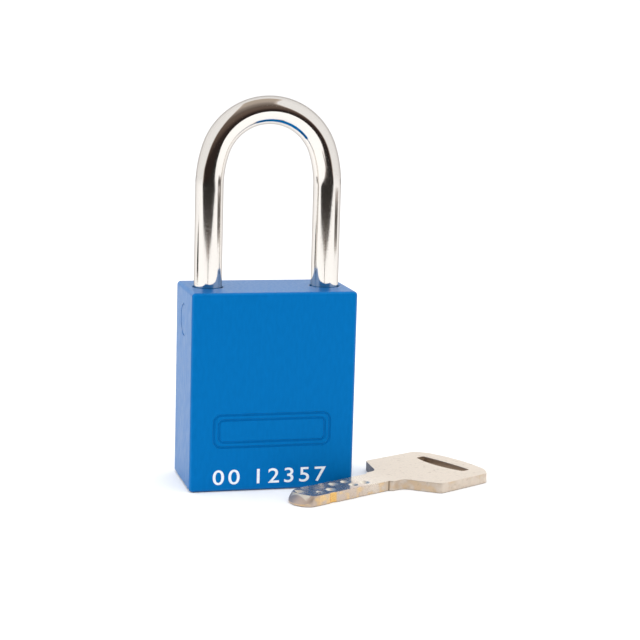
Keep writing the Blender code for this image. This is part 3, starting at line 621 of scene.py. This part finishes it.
shoulder = (LEG_X - CROWN_RADIUS * math.sin(CROWN_HALF)) / (1 - math.sin(CROWN_HALF))
crown_z = FOOT_Z + (shoulder - CROWN_RADIUS) * math.cos(CROWN_HALF)
foot_angle = math.pi / 2 - CROWN_HALF
heel_z, toe_z = leg_heights(HEEL_END, (BALL_Z, GROOVE_Z)), leg_heights(TOE_END, (BALL_Z,))[::-1]
right = arc((LEG_X - shoulder, FOOT_Z), shoulder, 0, foot_angle, 14)[1:]
crown = arc((0, crown_z), CROWN_RADIUS, foot_angle, np.pi - foot_angle, 96)[1:-1]
left = (right * (-1, 1))[::-1]
line = np.concatenate(
    [
        np.column_stack([np.full(len(heel_z), LEG_X), heel_z]),
        right,
        crown,
        left,
        np.column_stack([np.full(len(toe_z), -LEG_X), toe_z]),
    ]
)
print("middle line:", len(line), "points, top", round(line[:, 1].max() / MM, 2), "mm")

# %% The shackle's skin
AROUND = 120


def rod_radius(line, angle):
    """The rod's radius at each place and angle, where angle 0 faces the other leg.

    A cut at distance d, seen at an angle a, allows the radius d / cos a. A notch's cylinder lies at
    d = axis - sqrt(notch^2 - dz^2), and the swivel groove allows that same d at every angle.
    """
    x, z = line[:, :1], line[:, 1:]
    facing = np.maximum(np.cos(angle)[None, :], 1e-6)
    radius = np.full((len(line), len(angle)), ROD)
    straight = np.abs(np.abs(x) - LEG_X) < 1e-6
    heel = straight & (x > 0)
    for centre, legs, all_round in ((BALL_Z, straight, False), (GROOVE_Z, heel, True)):
        depth = NOTCH_AXIS - np.sqrt(np.maximum(NOTCH**2 - (z - centre) ** 2, 0))
        here = legs & (np.abs(z - centre) < NOTCH_EDGE)
        limit = np.broadcast_to(depth, radius.shape) if all_round else depth / facing
        radius = np.where(here, np.minimum(radius, limit), radius)
    flat = heel & (z > GROOVE_Z) & (z < BALL_Z)
    return np.where(flat, np.minimum(radius, FLAT / facing), radius)


def swept_rod(line, radius, angle):
    """Point = middle line + radius * (cos a * inward + sin a * Y), with inward square to the line."""
    ahead = np.gradient(line, axis=0)
    ahead /= np.linalg.norm(ahead, axis=1, keepdims=True)
    inward = np.stack([-ahead[:, 1], ahead[:, 0]], axis=-1)
    reach = radius * np.cos(angle)
    x = line[:, :1] + reach * inward[:, :1]
    z = line[:, 1:] + reach * inward[:, 1:]
    return np.stack([x, radius * np.sin(angle), z], axis=-1)


def rod_end(ring, tip_z):
    """Rings that round the rod's end over and close it at its middle: a quarter ellipse, then a flat disc."""
    middle = ring.mean(axis=0)
    a = np.linspace(0, np.pi / 2, 6)[1:]
    scale = np.concatenate([1 - (END_CHAMFER / ROD) * (1 - np.cos(a)), [0.4, 0.0]])
    height = np.concatenate([middle[2] + (tip_z - middle[2]) * np.sin(a), [tip_z, tip_z]])
    flat = middle[:2] + (ring[None, :, :2] - middle[:2]) * scale[:, None, None]
    return np.concatenate([flat, np.broadcast_to(height[:, None, None], flat.shape[:2] + (1,))], axis=-1)


angle = np.linspace(0, 2 * np.pi, AROUND, endpoint=False)
skin = swept_rod(line, rod_radius(line, angle), angle)
skin = np.concatenate([rod_end(skin[0], HEEL_END)[::-1], skin, rod_end(skin[-1], TOE_END)])
shackle = solid("shackle_rod", [(skin, False, True)])
print("shackle:", len(shackle.data.polygons), "faces")

# %% [markdown]
# ## The key
# The key is stamped from nickel silver sheet, its dimples are drilled in both faces so that it works either
# way up, and its nose is ground to a long bevel that helps it into the keyway. The outline is built from
# corners that are each rounded by their own radius. The edge is a small profile carried along that outline,
# wider round the nose.

# %% Measures of the key
KEY_TIP, KEY_STOP, KEY_NECK_END = -7.9 * MM, 17.5 * MM, 21.4 * MM
BLADE_HALF, NECK_HALF, BOW_HALF = 3.8 * MM, 4.6 * MM, 12.7 * MM
BOW_START, BOW_SIDE_END, KEY_END, BOW_END_RADIUS = 25.8 * MM, 41.0 * MM, 44.7 * MM, 38.0 * MM
KEY_TURN, KEY_SLIDE, KEY_OFFSET = math.radians(27.0), -0.9 * MM, -21.4 * MM
KEY_STEP = 0.16 * MM
NOSE_LENGTH = 3.0 * MM
print("key:", round((KEY_END - KEY_TIP) / MM, 1), "mm long")


# %% Helpers for outlines
def rounded_corners(corners, radii, count=9):
    """Each corner of an open line is replaced by an arc that touches both its sides."""
    parts = [corners[:1]]
    for before, corner, after, radius in zip(corners[:-2], corners[1:-1], corners[2:], radii):
        back, ahead = before - corner, after - corner
        back, ahead = back / np.linalg.norm(back), ahead / np.linalg.norm(ahead)
        half = math.acos(float(np.clip(back @ ahead, -1, 1))) / 2
        middle = corner + (back + ahead) / np.linalg.norm(back + ahead) * radius / math.sin(half)
        first, last = corner + back * radius / math.tan(half), corner + ahead * radius / math.tan(half)
        t = np.linspace(0, 1, count)[:, None]
        chord = first + (last - first) * t - middle
        parts.append(middle + chord / np.linalg.norm(chord, axis=1, keepdims=True) * radius)
    return np.concatenate(parts + [corners[-1:]])


def evenly(path, step):
    """The same closed path with points at equal distances along it."""
    loop = np.concatenate([path, path[:1]])
    run = np.concatenate([[0], np.cumsum(np.linalg.norm(np.diff(loop, axis=0), axis=1))])
    places = np.linspace(0, run[-1], int(run[-1] / step), endpoint=False)
    return np.stack([np.interp(places, run, loop[:, k]) for k in (0, 1)], axis=-1)


print("outline helpers ready")

# %% The key's outline
nose_angle = np.linspace(0, np.pi / 2, 40)
nose = np.stack([KEY_TIP + NOSE_LENGTH * (1 - np.cos(nose_angle)), BLADE_HALF * np.sin(nose_angle)], axis=-1)
corners = np.array(
    [
        nose[-1],
        (KEY_STOP, BLADE_HALF),
        (KEY_STOP + NECK_HALF - BLADE_HALF, NECK_HALF),
        (KEY_NECK_END, NECK_HALF),
        (BOW_START, BOW_HALF),
        (BOW_SIDE_END + 0.3 * MM, BOW_HALF - 0.35 * MM),
        (43.6 * MM, 9.4 * MM),
        (KEY_END - BOW_END_RADIUS + math.sqrt(BOW_END_RADIUS**2 - (4 * MM) ** 2), 4 * MM),
        (KEY_END, 0),
    ]
)
CORNER_RADII = np.array([0.25, 0.5, 2.6, 1.0, 2.2, 5.0, 16.0]) * MM
upper = np.concatenate([nose[:-1], rounded_corners(corners, CORNER_RADII)])
outline = evenly(np.concatenate([upper, (upper[1:-1] * (1, -1))[::-1]])[::-1], KEY_STEP)
print("outline:", len(outline), "points")

# %% The bow's slot and the dimples
SLOT_MIDDLE, SLOT_HALF, SLOT_END_HALF = 39.0 * MM, 7.7 * MM, 1.15 * MM
SLOT_SWELL = (0.4 * MM, 1.3 * MM)
PIN_PITCH, FIRST_PIN, ROW = 3.44 * MM, 2.8 * MM, 1.5 * MM
SLOT_CORNER = 0.3 * MM
DRILL_TIP, DRILL_SLOPE = 0.55 * MM, math.radians(42.0)
DIMPLES = [  # station along the blade, side, and depth in mm
    (0, 1, 0.60), (1, -1, 0.25), (2, -1, 0.60), (3, 1, 0.60), (4, 1, 0.45), (4, -1, 0.45), (5, -1, 0.60),
]
across = np.linspace(-SLOT_HALF + SLOT_CORNER, SLOT_HALF - SLOT_CORNER, 41)
swell = 1 - (across / SLOT_HALF) ** 2
slot_outer = np.stack([SLOT_MIDDLE + SLOT_END_HALF + SLOT_SWELL[0] * swell, across], axis=-1)
slot_inner = np.stack([SLOT_MIDDLE - SLOT_END_HALF - SLOT_SWELL[1] * swell, across], axis=-1)
slot_ends = np.array([(SLOT_END_HALF - SLOT_CORNER, SLOT_HALF), (SLOT_CORNER - SLOT_END_HALF, SLOT_HALF)])
slot_far, slot_near = slot_ends + (SLOT_MIDDLE, 0), slot_ends[::-1] * (1, -1) + (SLOT_MIDDLE, 0)
slot = evenly(np.concatenate([slot_outer, slot_far, slot_inner[::-1], slot_near]), KEY_STEP)
print("slot:", len(slot), "points")


# %% A drilled dimple
def dimple(middle, depth, face, sign, around=40):
    """A drilled dimple: a rolled lip, a cone of constant slope, and a rounded floor of constant size.

    The lip's radius is the floor's radius plus the depth over the tangent of the slope.
    """
    lip = DRILL_TIP + depth * MM / math.tan(DRILL_SLOPE)
    inside = [DRILL_TIP + 0.1 * MM, DRILL_TIP, 0.3 * MM, 0.0]
    radius = np.array([lip + 0.05 * MM, lip + 0.02 * MM, lip - 0.02 * MM, *inside])
    fall = np.clip((lip - radius) * math.tan(DRILL_SLOPE), 0, depth * MM)
    fall[1:5] += np.array([0.006, 0.006, -0.01, -0.04]) * MM
    a = np.linspace(0, 2 * np.pi, around, endpoint=False)
    ring = np.stack([np.cos(a), np.sin(a)], axis=-1)
    flat = np.array(middle) + radius[:, None, None] * ring
    height = np.broadcast_to((face - sign * fall)[:, None, None], flat.shape[:2] + (1,))
    return np.concatenate([flat, height], axis=-1)


print("dimples:", len(DIMPLES), "on each face")

# %% The key's edge
EDGE_ROUND, NOSE_REACH = 0.14 * MM, 4.6 * MM
NOSE_BEVEL = {1: (1.60 * MM, 1.75 * MM), -1: (0.25 * MM, 0.25 * MM)}  # width and depth, above and below


def edge_rings(path, face, sign, bevel, drop):
    """Rings from the side up onto a face: straight for a bevel, a quarter ellipse for a rounded edge."""
    out = normals_of(path)
    t = np.linspace(0, 1, 7)[:, None]
    crown = np.clip(1 - (bevel - EDGE_ROUND) / NOSE_BEVEL[1][0], 0.12, 1)[None, :]
    round_in, round_up = 1 - np.cos(t * np.pi / 2), np.sin(t * np.pi / 2)
    inset = (t * (1 - crown) + round_in * crown) * bevel
    rise = (t * (1 - crown) + round_up * crown) * drop
    flat = path[None] - out[None] * inset[..., None]
    return np.concatenate([flat, (face - sign * (drop - rise))[..., None]], axis=-1)


along, sideways = outline[:, 0], outline[:, 1]
near_nose = np.clip(1 - (along - KEY_TIP) / NOSE_REACH, 0, 1)
near_nose = near_nose * near_nose * (3 - 2 * near_nose)
SIDE_GROOVES = [(0.6, 0.95, 0.30), (9.0, 0.9, 0.14), (12.0, 0.8, 0.14)]  # place, half width and depth in mm
worn_side = (sideways < 0) & (np.abs(sideways) > 3.5 * MM)
groove = sum(depth * np.exp(-(((along / MM - place) / half) ** 4)) for place, half, depth in SIDE_GROOVES)
outline = outline - normals_of(outline) * (groove * MM * worn_side)[:, None]
print("deepest groove:", round(float((groove * worn_side).max()), 2), "mm")

# %% The key's faces
slot_edge = np.full(len(slot), EDGE_ROUND)
grids, fills = [], []
for face, sign in ((key_high.z, 1), (key_low.z, -1)):
    bevel, drop = (EDGE_ROUND + size * near_nose for size in NOSE_BEVEL[sign])
    rim = edge_rings(outline, face, sign, bevel, drop)
    hole = edge_rings(slot[::-1], face, sign, slot_edge, slot_edge)
    drilled = [
        dimple((KEY_TIP + FIRST_PIN + station * PIN_PITCH, row * ROW), depth, face, sign)
        for station, row, depth in DIMPLES
    ]
    grids += [(rim, False, True), (hole, False, True)] + [(d, False, True) for d in drilled]
    loops = [rim[-1][:, :2], hole[-1][:, :2]] + [d[0][:, :2] for d in drilled]
    fills.append(filled(rim[-1], loops))
upper_rim, lower_rim = grids[0][0][0], grids[len(grids) // 2][0][0]
upper_hole, lower_hole = grids[1][0][0], grids[len(grids) // 2 + 1][0][0]
grids += [(np.stack([upper_rim, lower_rim]), False, True), (np.stack([upper_hole, lower_hole]), False, True)]
print("key surfaces:", len(grids))

# %% The key where it lies
c, s = math.cos(KEY_TURN), math.sin(KEY_TURN)
turn = np.array([[c, s, 0], [-s, c, 0], [0, 0, 1]])
shift = np.array([KEY_SLIDE, KEY_OFFSET, 0])
grids = [((points + shift) @ turn, wrap_rows, wrap_columns) for points, wrap_rows, wrap_columns in grids]
fills = [((points + shift) @ turn, faces) for points, faces in fills]
key = even_shading(solid("dimple_key", grids, fills))
print("key:", len(key.data.polygons), "faces")

# %% [markdown]
# ### The key's metal
# Nickel silver is a warm white metal. The blade is polished by use and mirrors what is near, and its tint is
# darkened, a painted shade that dims what it mirrors. The bow is satin and finely pitted from tumbling. The
# sheared side is yellower, with golden stains and a brassy notch. Painted shade darkens the slot's wall, the
# shoulder by the body and a thin line at the blade's step, a painted contact shadow runs along the lowest
# edge, and a painted highlight pales the cones of the dimples. A Mapping node turns the pattern into the
# key's own directions, so that each mask is a plain range along the key or across it.

# %% Nickel silver
nickel, w, shader, tint, rough = metal(
    "tumbled nickel silver", (0.84, 0.745, 0.64), 0.25, metallic=0.85, grain_scale=(1700, 1700, 1700),
    grain_depth=1.2e-6, shade=0.92, spread=0.05, pit_scale=1500, pit_share=0.10, pit_depth=0.8,
)
coords = w.node("ShaderNodeTexCoord")
lie = w.node("ShaderNodeMapping", {"Vector": coords.outputs["Object"]})
lie.inputs["Rotation"].default_value = (0, 0, -KEY_TURN)
lie.inputs["Location"].default_value = (-KEY_SLIDE, -KEY_OFFSET, 0)
along_key, across_key, up_key = w.node("ShaderNodeSeparateXYZ", {0: lie.outputs[0]}).outputs
facing_up = w.math("ABSOLUTE", w.node("ShaderNodeSeparateXYZ", {0: coords.outputs["Normal"]}).outputs[2])
place = coords.outputs["Object"]
patch = w.node("ShaderNodeTexNoise", {"Vector": place, "Scale": 420.0, "Detail": 2.0}).outputs[0]
speckle = w.node("ShaderNodeTexNoise", {"Vector": place, "Scale": 900.0, "Detail": 3.0}).outputs[0]
print("base metal:", nickel.name)


# %% Helpers for masks
def both(a, b):
    """Where both masks hold: their product."""
    return w.math("MULTIPLY", a, b)


def under(value, low, high, left=0.0):
    """1 below the low value, and falls to what is left above the high one."""
    return w.math("SUBTRACT", 1.0, w.span(value, low, high, 0.0, 1.0 - left))


def near(value, middle, half, soft):
    """1 within a half width of the middle, and falls to 0 over the soft width outside it."""
    return under(w.math("ABSOLUTE", w.math("SUBTRACT", value, middle)), half, half + soft)


print("mask helpers ready")

# %% Masks on the key
side, slanted = under(facing_up, 0.15, 0.5), under(facing_up, 0.93, 0.97)
on_bow, on_blade = w.span(along_key, 12 * MM, 22 * MM), under(along_key, 14 * MM, 19 * MM, left=0.4)
# Painted shade: the blade's tint is darkened, which dims what the blade mirrors.
painted_blade_shade = under(along_key, 8.5 * MM, 12 * MM)
bevelled = both(near(along_key, KEY_TIP, 4.4 * MM, 0.5 * MM), slanted)
drilled_strip = both(near(across_key, 0.0, 2.8 * MM, 0.1 * MM), w.span(along_key, -6.6 * MM, -6.4 * MM))
# Painted highlight: the dimples' cones get a paler tint, and they are also a little rougher.
cone_with_painted_highlight = both(both(w.span(facing_up, 0.60, 0.68), slanted), drilled_strip)
streaks = both(side, w.span(patch, 0.40, 0.60, 0.55, 1.0))
stains = both(side, both(w.span(patch, 0.46, 0.62, 0.0, 0.8), on_blade))
notch = both(side, near(along_key, 0.6 * MM, 0.8 * MM, 0.4 * MM))
# Painted shadow: a thin dark line on the side, at the step where the blade widens to the neck.
step = both(side, near(along_key, KEY_STOP + 0.05 * MM, 0.08 * MM, 0.15 * MM))
# Painted shade: the wall of the bow's slot is darkened, as shade falls in that recess.
painted_slot_shade = both(side, near(along_key, SLOT_MIDDLE - 0.4 * MM, 2.6 * MM, 0.2 * MM))
painted_slot_shade = both(painted_slot_shade, near(across_key, 0.0, SLOT_HALF + 0.2 * MM, 0.2 * MM))
# Painted shade: the side wall of the bow's shoulder next to the body is made nearly black.
shoulder = both(near(along_key, 23.5 * MM, 2.6 * MM, 0.5 * MM), near(across_key, 9 * MM, 4 * MM, 0.5 * MM))
freckles = both(on_bow, w.span(speckle, 0.60, 0.70, 0.0, 0.35))
# Painted contact shadow: a dark band along the key's lowest edge, where it lies on the floor.
painted_contact_shadow = near(up_key, FLOOR_Z, 0.06 * MM, 0.10 * MM)
print("masks ready")

# %% Tints and roughness on the key
LAYERS = [  # mask, how strongly it covers, and tint
    (painted_blade_shade, 1.0, (0.62, 0.50, 0.42, 1)),
    (streaks, 1.0, (0.53, 0.44, 0.36, 1)),
    (stains, 1.0, (0.80, 0.54, 0.25, 1)),
    (notch, 0.85, (0.80, 0.47, 0.12, 1)),
    # painted shadow at the blade's step
    (step, 0.75, (0.12, 0.08, 0.05, 1)),
    (painted_slot_shade, 1.0, (0.38, 0.28, 0.20, 1)),
    # painted shade on the shoulder's side wall
    (both(side, shoulder), 1.0, (0.075, 0.085, 0.12, 1)),
    (freckles, 1.0, (0.42, 0.33, 0.25, 1)),
    (cone_with_painted_highlight, 0.8, (0.97, 0.92, 0.80, 1)),
    (painted_contact_shadow, 0.8, (0.10, 0.08, 0.07, 1)),
]
for mask, cover, paint in LAYERS:
    tint = w.blend(both(mask, cover), tint, paint)
for mask, rougher in ((on_bow, 0.16), (bevelled, 0.25), (cone_with_painted_highlight, 0.12)):
    rough = w.math("ADD", rough, both(mask, rougher))
w.feed(shader.inputs["Base Color"], tint)
w.feed(shader.inputs["Roughness"], rough)
print("material:", nickel.name)

# %% [markdown]
# ## Finishes on the pieces
# The four new pieces stand for their CAD nodes. Everything inside keeps its CAD shape, and gets its own
# metal.

# %% Ride and finish
NEW_PIECES = [
    (body, "case", "lock_body", blue),
    (ball_plug, "case", "ball_bore_plug", blue),
    (shackle, "shackle", "shackle", chrome),
    (key, "key", "key", nickel),
]
for piece, rides_on, node, material in NEW_PIECES:
    piece.data.materials.clear()
    piece.data.materials.append(material)
    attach(piece, rides_on)
    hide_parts(node)
number.data.materials.clear()
number.data.materials.append(white_mark)
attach(number, "case")

INNER_METALS = {
    "cylinder_shell": plated,
    "cylinder_plug": plated,
    "pin_chamber_cover": brass,
    "key_pin": brass,
    "driver_pin": plated,
    "locking_ball": steel,
    "locking_cam": steel,
    "plug_clip": spring_wire,
    "cylinder_retaining_screw": zinc,
    "shackle_spring": spring_wire,
    "cam_spring": spring_wire,
    "pin_spring": spring_wire,
}
for name, node in frame["nodes"].items():
    for start, material in INNER_METALS.items():
        if name.startswith(start):
            for held in node.material_slots:
                held.material = material
print("finished:", [piece.name for piece, *_ in NEW_PIECES])

# %% [markdown]
# ## The studio
# The padlock stands in a light tent: white paper below and behind, and white cloth on both sides. The room
# in front of the tent is dark, and a mirror-bright rod shows it as a dark band between two white ones. The
# paper ends at the tent's mouth, so the band fades out towards the foot of each leg. The roof between the
# two lamps is dimmer, and it greys the top of the bend. The room, the roof and the gaps are cards that only
# reflections can see.

# %% Floor and backdrop
SWEEP_START, SWEEP_RADIUS, SWEEP_TOP, HALF_ROOM = 1.6, 1.0, 4.0, 3.5


def stage_mesh(name, points, material, only_reflected=False, tones=None):
    """A sheet of the stage from a grid of points.

    One that is only reflected casts no shadow and gives no light. It may have a tone at each point.
    """
    rows, columns = points.shape[:2]
    data = bpy.data.meshes.new(name)
    data.from_pydata(points.reshape(-1, 3).tolist(), [], grid_quads(rows, columns).tolist())
    data.shade_smooth()
    data.materials.append(material)
    card = bpy.data.objects.new(name, data)
    bpy.context.scene.collection.objects.link(card)
    if only_reflected:
        card.visible_camera = card.visible_diffuse = card.visible_shadow = False
    if tones is not None:
        layer = data.color_attributes.new("tone", "FLOAT_COLOR", "POINT")
        layer.data.foreach_set("color", np.dstack([tones, np.ones(tones.shape[:2])]).ravel())
    card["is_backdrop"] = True
    return card


def plain(name, colour, strength=None):
    """A matt material, or one that only glows if it has a strength."""
    material = bpy.data.materials.new(name)
    material.use_nodes = True
    shader = material.node_tree.nodes["Principled BSDF"]
    shader.inputs["Base Color"].default_value = (*colour, 1) if strength is None else (0, 0, 0, 1)
    shader.inputs["Roughness"].default_value = 0.9
    shader.inputs["Specular IOR Level"].default_value = 0.1 if strength is None else 0.0
    if strength is not None:
        shader.inputs["Emission Color"].default_value = (*colour, 1)
        shader.inputs["Emission Strength"].default_value = strength
    return material


bend = arc((SWEEP_START, FLOOR_Z + SWEEP_RADIUS), SWEEP_RADIUS, -np.pi / 2, 0, 24)
flat_part, upright = [(-HALF_ROOM, FLOOR_Z), (0.0, FLOOR_Z)], [(SWEEP_START + SWEEP_RADIUS, SWEEP_TOP)]
sweep = np.concatenate([flat_part, bend, upright])
side = np.array([-HALF_ROOM, HALF_ROOM])
paper_grid = np.stack(
    [
        np.broadcast_to(side[:, None], (2, len(sweep))),
        np.broadcast_to(sweep[None, :, 0], (2, len(sweep))),
        np.broadcast_to(sweep[None, :, 1], (2, len(sweep))),
    ],
    axis=-1,
)
PAPER_GLOW = 0.06
paper = plain("white paper", (0.95, 0.95, 0.95))
paper_inputs = paper.node_tree.nodes["Principled BSDF"].inputs
paper_inputs["Emission Color"].default_value = (1, 1, 1, 1)
paper_inputs["Emission Strength"].default_value = PAPER_GLOW
floor = stage_mesh("floor", paper_grid, paper)
print("floor:", len(floor.data.polygons), "faces")

# %% The room and the roof
ROOM_RADIUS, ROOM_MIDDLE, CARD_LIFT = 1.2, math.radians(-14.0), 0.2 * MM
ROOM_ROWS = [  # height up the strip, half widths to the left and the right, and tone
    (-12, 55, 55, (0.030, 0.020, 0.018)),
    (8, 54, 55, (0.034, 0.023, 0.020)),
    (16, 46, 52, (0.090, 0.062, 0.050)),
    (27, 36, 44, (0.140, 0.100, 0.080)),
    (42, 27, 32, (0.150, 0.115, 0.095)),
    (60, 22, 23, (0.280, 0.235, 0.205)),
    (78, 20, 20, (0.500, 0.430, 0.370)),
    (108, 18, 18, (0.560, 0.480, 0.400)),
]
ROOM_RIM = (0.80, 0.70, 0.64)


def room_strip(count=97):
    """A strip of a sphere that rises from the front and passes overhead, and its tones.

    Ahead = front * cos e + up * sin e, and direction = ahead * cos b + right * sin b. The angle e runs up
    the strip, and b runs across it between limits that close in with e. The tone follows e, and fades to
    the rim's at the sides.
    """
    rows = np.array([(e, -left, right, *tone) for e, left, right, tone in ROOM_ROWS], float)
    marks = np.radians(rows[:, 0])
    e, share = np.linspace(marks[0], marks[-1], count), np.linspace(0, 1, count)
    first, last = (np.radians(np.interp(e, marks, rows[:, k]))[:, None] for k in (1, 2))
    b = first + (last - first) * share[None, :]
    front = np.array([math.sin(ROOM_MIDDLE), -math.cos(ROOM_MIDDLE), 0])
    across = np.array([math.cos(ROOM_MIDDLE), math.sin(ROOM_MIDDLE), 0])
    ahead = front * np.cos(e)[:, None] + np.array([0, 0, 1]) * np.sin(e)[:, None]
    points = (ahead[:, None] * np.cos(b)[..., None] + across * np.sin(b)[..., None]) * ROOM_RADIUS
    tone = np.stack([np.interp(e, marks, rows[:, k]) for k in (3, 4, 5)], axis=-1)[:, None]
    fade = np.clip((np.abs(2 * share - 1) - 0.78) / 0.22, 0, 1)[None, :, None] ** 2
    return points, tone * (1 - fade) + np.array(ROOM_RIM) * fade


def painted(name):
    """A material that glows with its sheet's own tones."""
    material = plain(name, (0, 0, 0), 1.0)
    wires = Wires(material.node_tree)
    tone = wires.node("ShaderNodeAttribute", attribute_name="tone")
    wires.feed(material.node_tree.nodes["Principled BSDF"].inputs["Emission Color"], tone.outputs["Color"])
    return material


room_points, room_tones = room_strip()
dim = painted("dim room")
room = stage_mesh("dim_room", room_points, dim, True, room_tones)
print("room:", len(room.data.polygons), "faces")

# %% The gaps beyond the paper
FLOOR_CARDS = [  # name, and for each radius the radius, the angles from the front in degrees, and the tone
    ("front_gap", [
        (0.385, -26, -8, 0.70), (0.42, -30, 2, 0.42), (0.455, -42, 10, 0.16), (0.52, -57, 19, 0.06),
        (0.62, -64, 29, 0.034), (0.74, -69, 41, 0.028), (1.2, -69, 41, 0.026),
    ]),
    ("right_gap", [(0.42, 64, 92, 0.7), (0.47, 62, 94, 0.16), (0.60, 60, 94, 0.10), (0.74, 60, 92, 0.7)]),
    ("left_gap", [
        (0.325, -112, -96, 0.6), (0.35, -116, -96, 0.05), (0.46, -112, -98, 0.04), (0.53, -107, -100, 0.5),
    ]),
    ("front_line", [(0.29, -15.5, -11, 0.5), (0.34, -15.5, -11, 0.18), (0.45, -15.5, -11, 0.10)]),
    ("back_seam_left", [(0.9, -166, -158, 0.2), (1.4, -166, -158, 0.2)]),
    ("back_seam_right", [(0.9, 120, 128, 0.2), (1.4, 120, 128, 0.2)]),
]
GAP_COLOUR = np.array([1.0, 0.90, 0.84])


def floor_ring(rows, count=49):
    """Part of a flat ring just over the paper: (r sin a, -r cos a), with a between the limits for r."""
    r, first, last, glow = np.array(rows).T
    share = np.linspace(0, 1, count)[:, None]
    a = np.radians(first + (last - first) * share)
    points = np.stack([r * np.sin(a), -r * np.cos(a), np.full(a.shape, FLOOR_Z + CARD_LIFT)], axis=-1)
    return points, np.broadcast_to(glow[None, :, None] * GAP_COLOUR, points.shape)


for name, rows in FLOOR_CARDS:
    ring, glow = floor_ring(rows)
    stage_mesh(name, ring, dim, True, glow)
print("gaps:", len(FLOOR_CARDS))

# %% Light
world = bpy.data.worlds.new("white studio")
bpy.context.scene.world = world
world.use_nodes = True
backdrop = world.node_tree.nodes["Background"].inputs
backdrop["Color"].default_value, backdrop["Strength"].default_value = (1.0, 1.0, 1.0, 1), 1.0


def soft_box(name, place, target, size, power, colour=(1, 1, 1)):
    """A square area light that faces a point, and that reflections don't see."""
    light = bpy.data.lights.new(name, "AREA")
    light.size, light.energy, light.color = size, power, colour
    holder = bpy.data.objects.new(name, light)
    holder.location = place
    holder.rotation_euler = (Vector(target) - Vector(place)).to_track_quat("-Z", "Y").to_euler()
    holder.visible_glossy = False
    bpy.context.scene.collection.objects.link(holder)


soft_box("top light", (-0.15, -0.2, 1.2), target=(0, 0, 0), size=0.9, power=6.0)
print("lights:", len(bpy.data.lights))

# %% Camera
CAMERA_PLACE = Vector((-86.82, -373.40, 58.85)) * MM
CAMERA_RIGHT = Vector((0.96702, -0.25309, 0.02862))
CAMERA_UP = Vector((0.01596, 0.17238, 0.98490))
FOCAL, SENSOR = 95.42, 36.0
camera_data = bpy.data.cameras.new("camera")
camera_data.lens, camera_data.sensor_width = FOCAL, SENSOR
camera_data.clip_start, camera_data.clip_end = 0.01, 20.0
camera = bpy.data.objects.new("camera", camera_data)
bpy.context.scene.collection.objects.link(camera)
axes = Matrix((CAMERA_RIGHT, CAMERA_UP, CAMERA_RIGHT.cross(CAMERA_UP))).transposed().to_4x4()
camera.matrix_world = Matrix.Translation(CAMERA_PLACE) @ axes
bpy.context.scene.camera = camera
bpy.context.scene.view_settings.view_transform = "Standard"
print("camera:", round(CAMERA_PLACE.length / MM), "mm from the padlock's top face")

# %% Boxes, and the end
seen_low, seen_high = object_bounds()
growth = (seen_high - seen_low) - (cad_high - cad_low)
print("box grows by", [round(side / MM, 3) for side in growth], "mm")
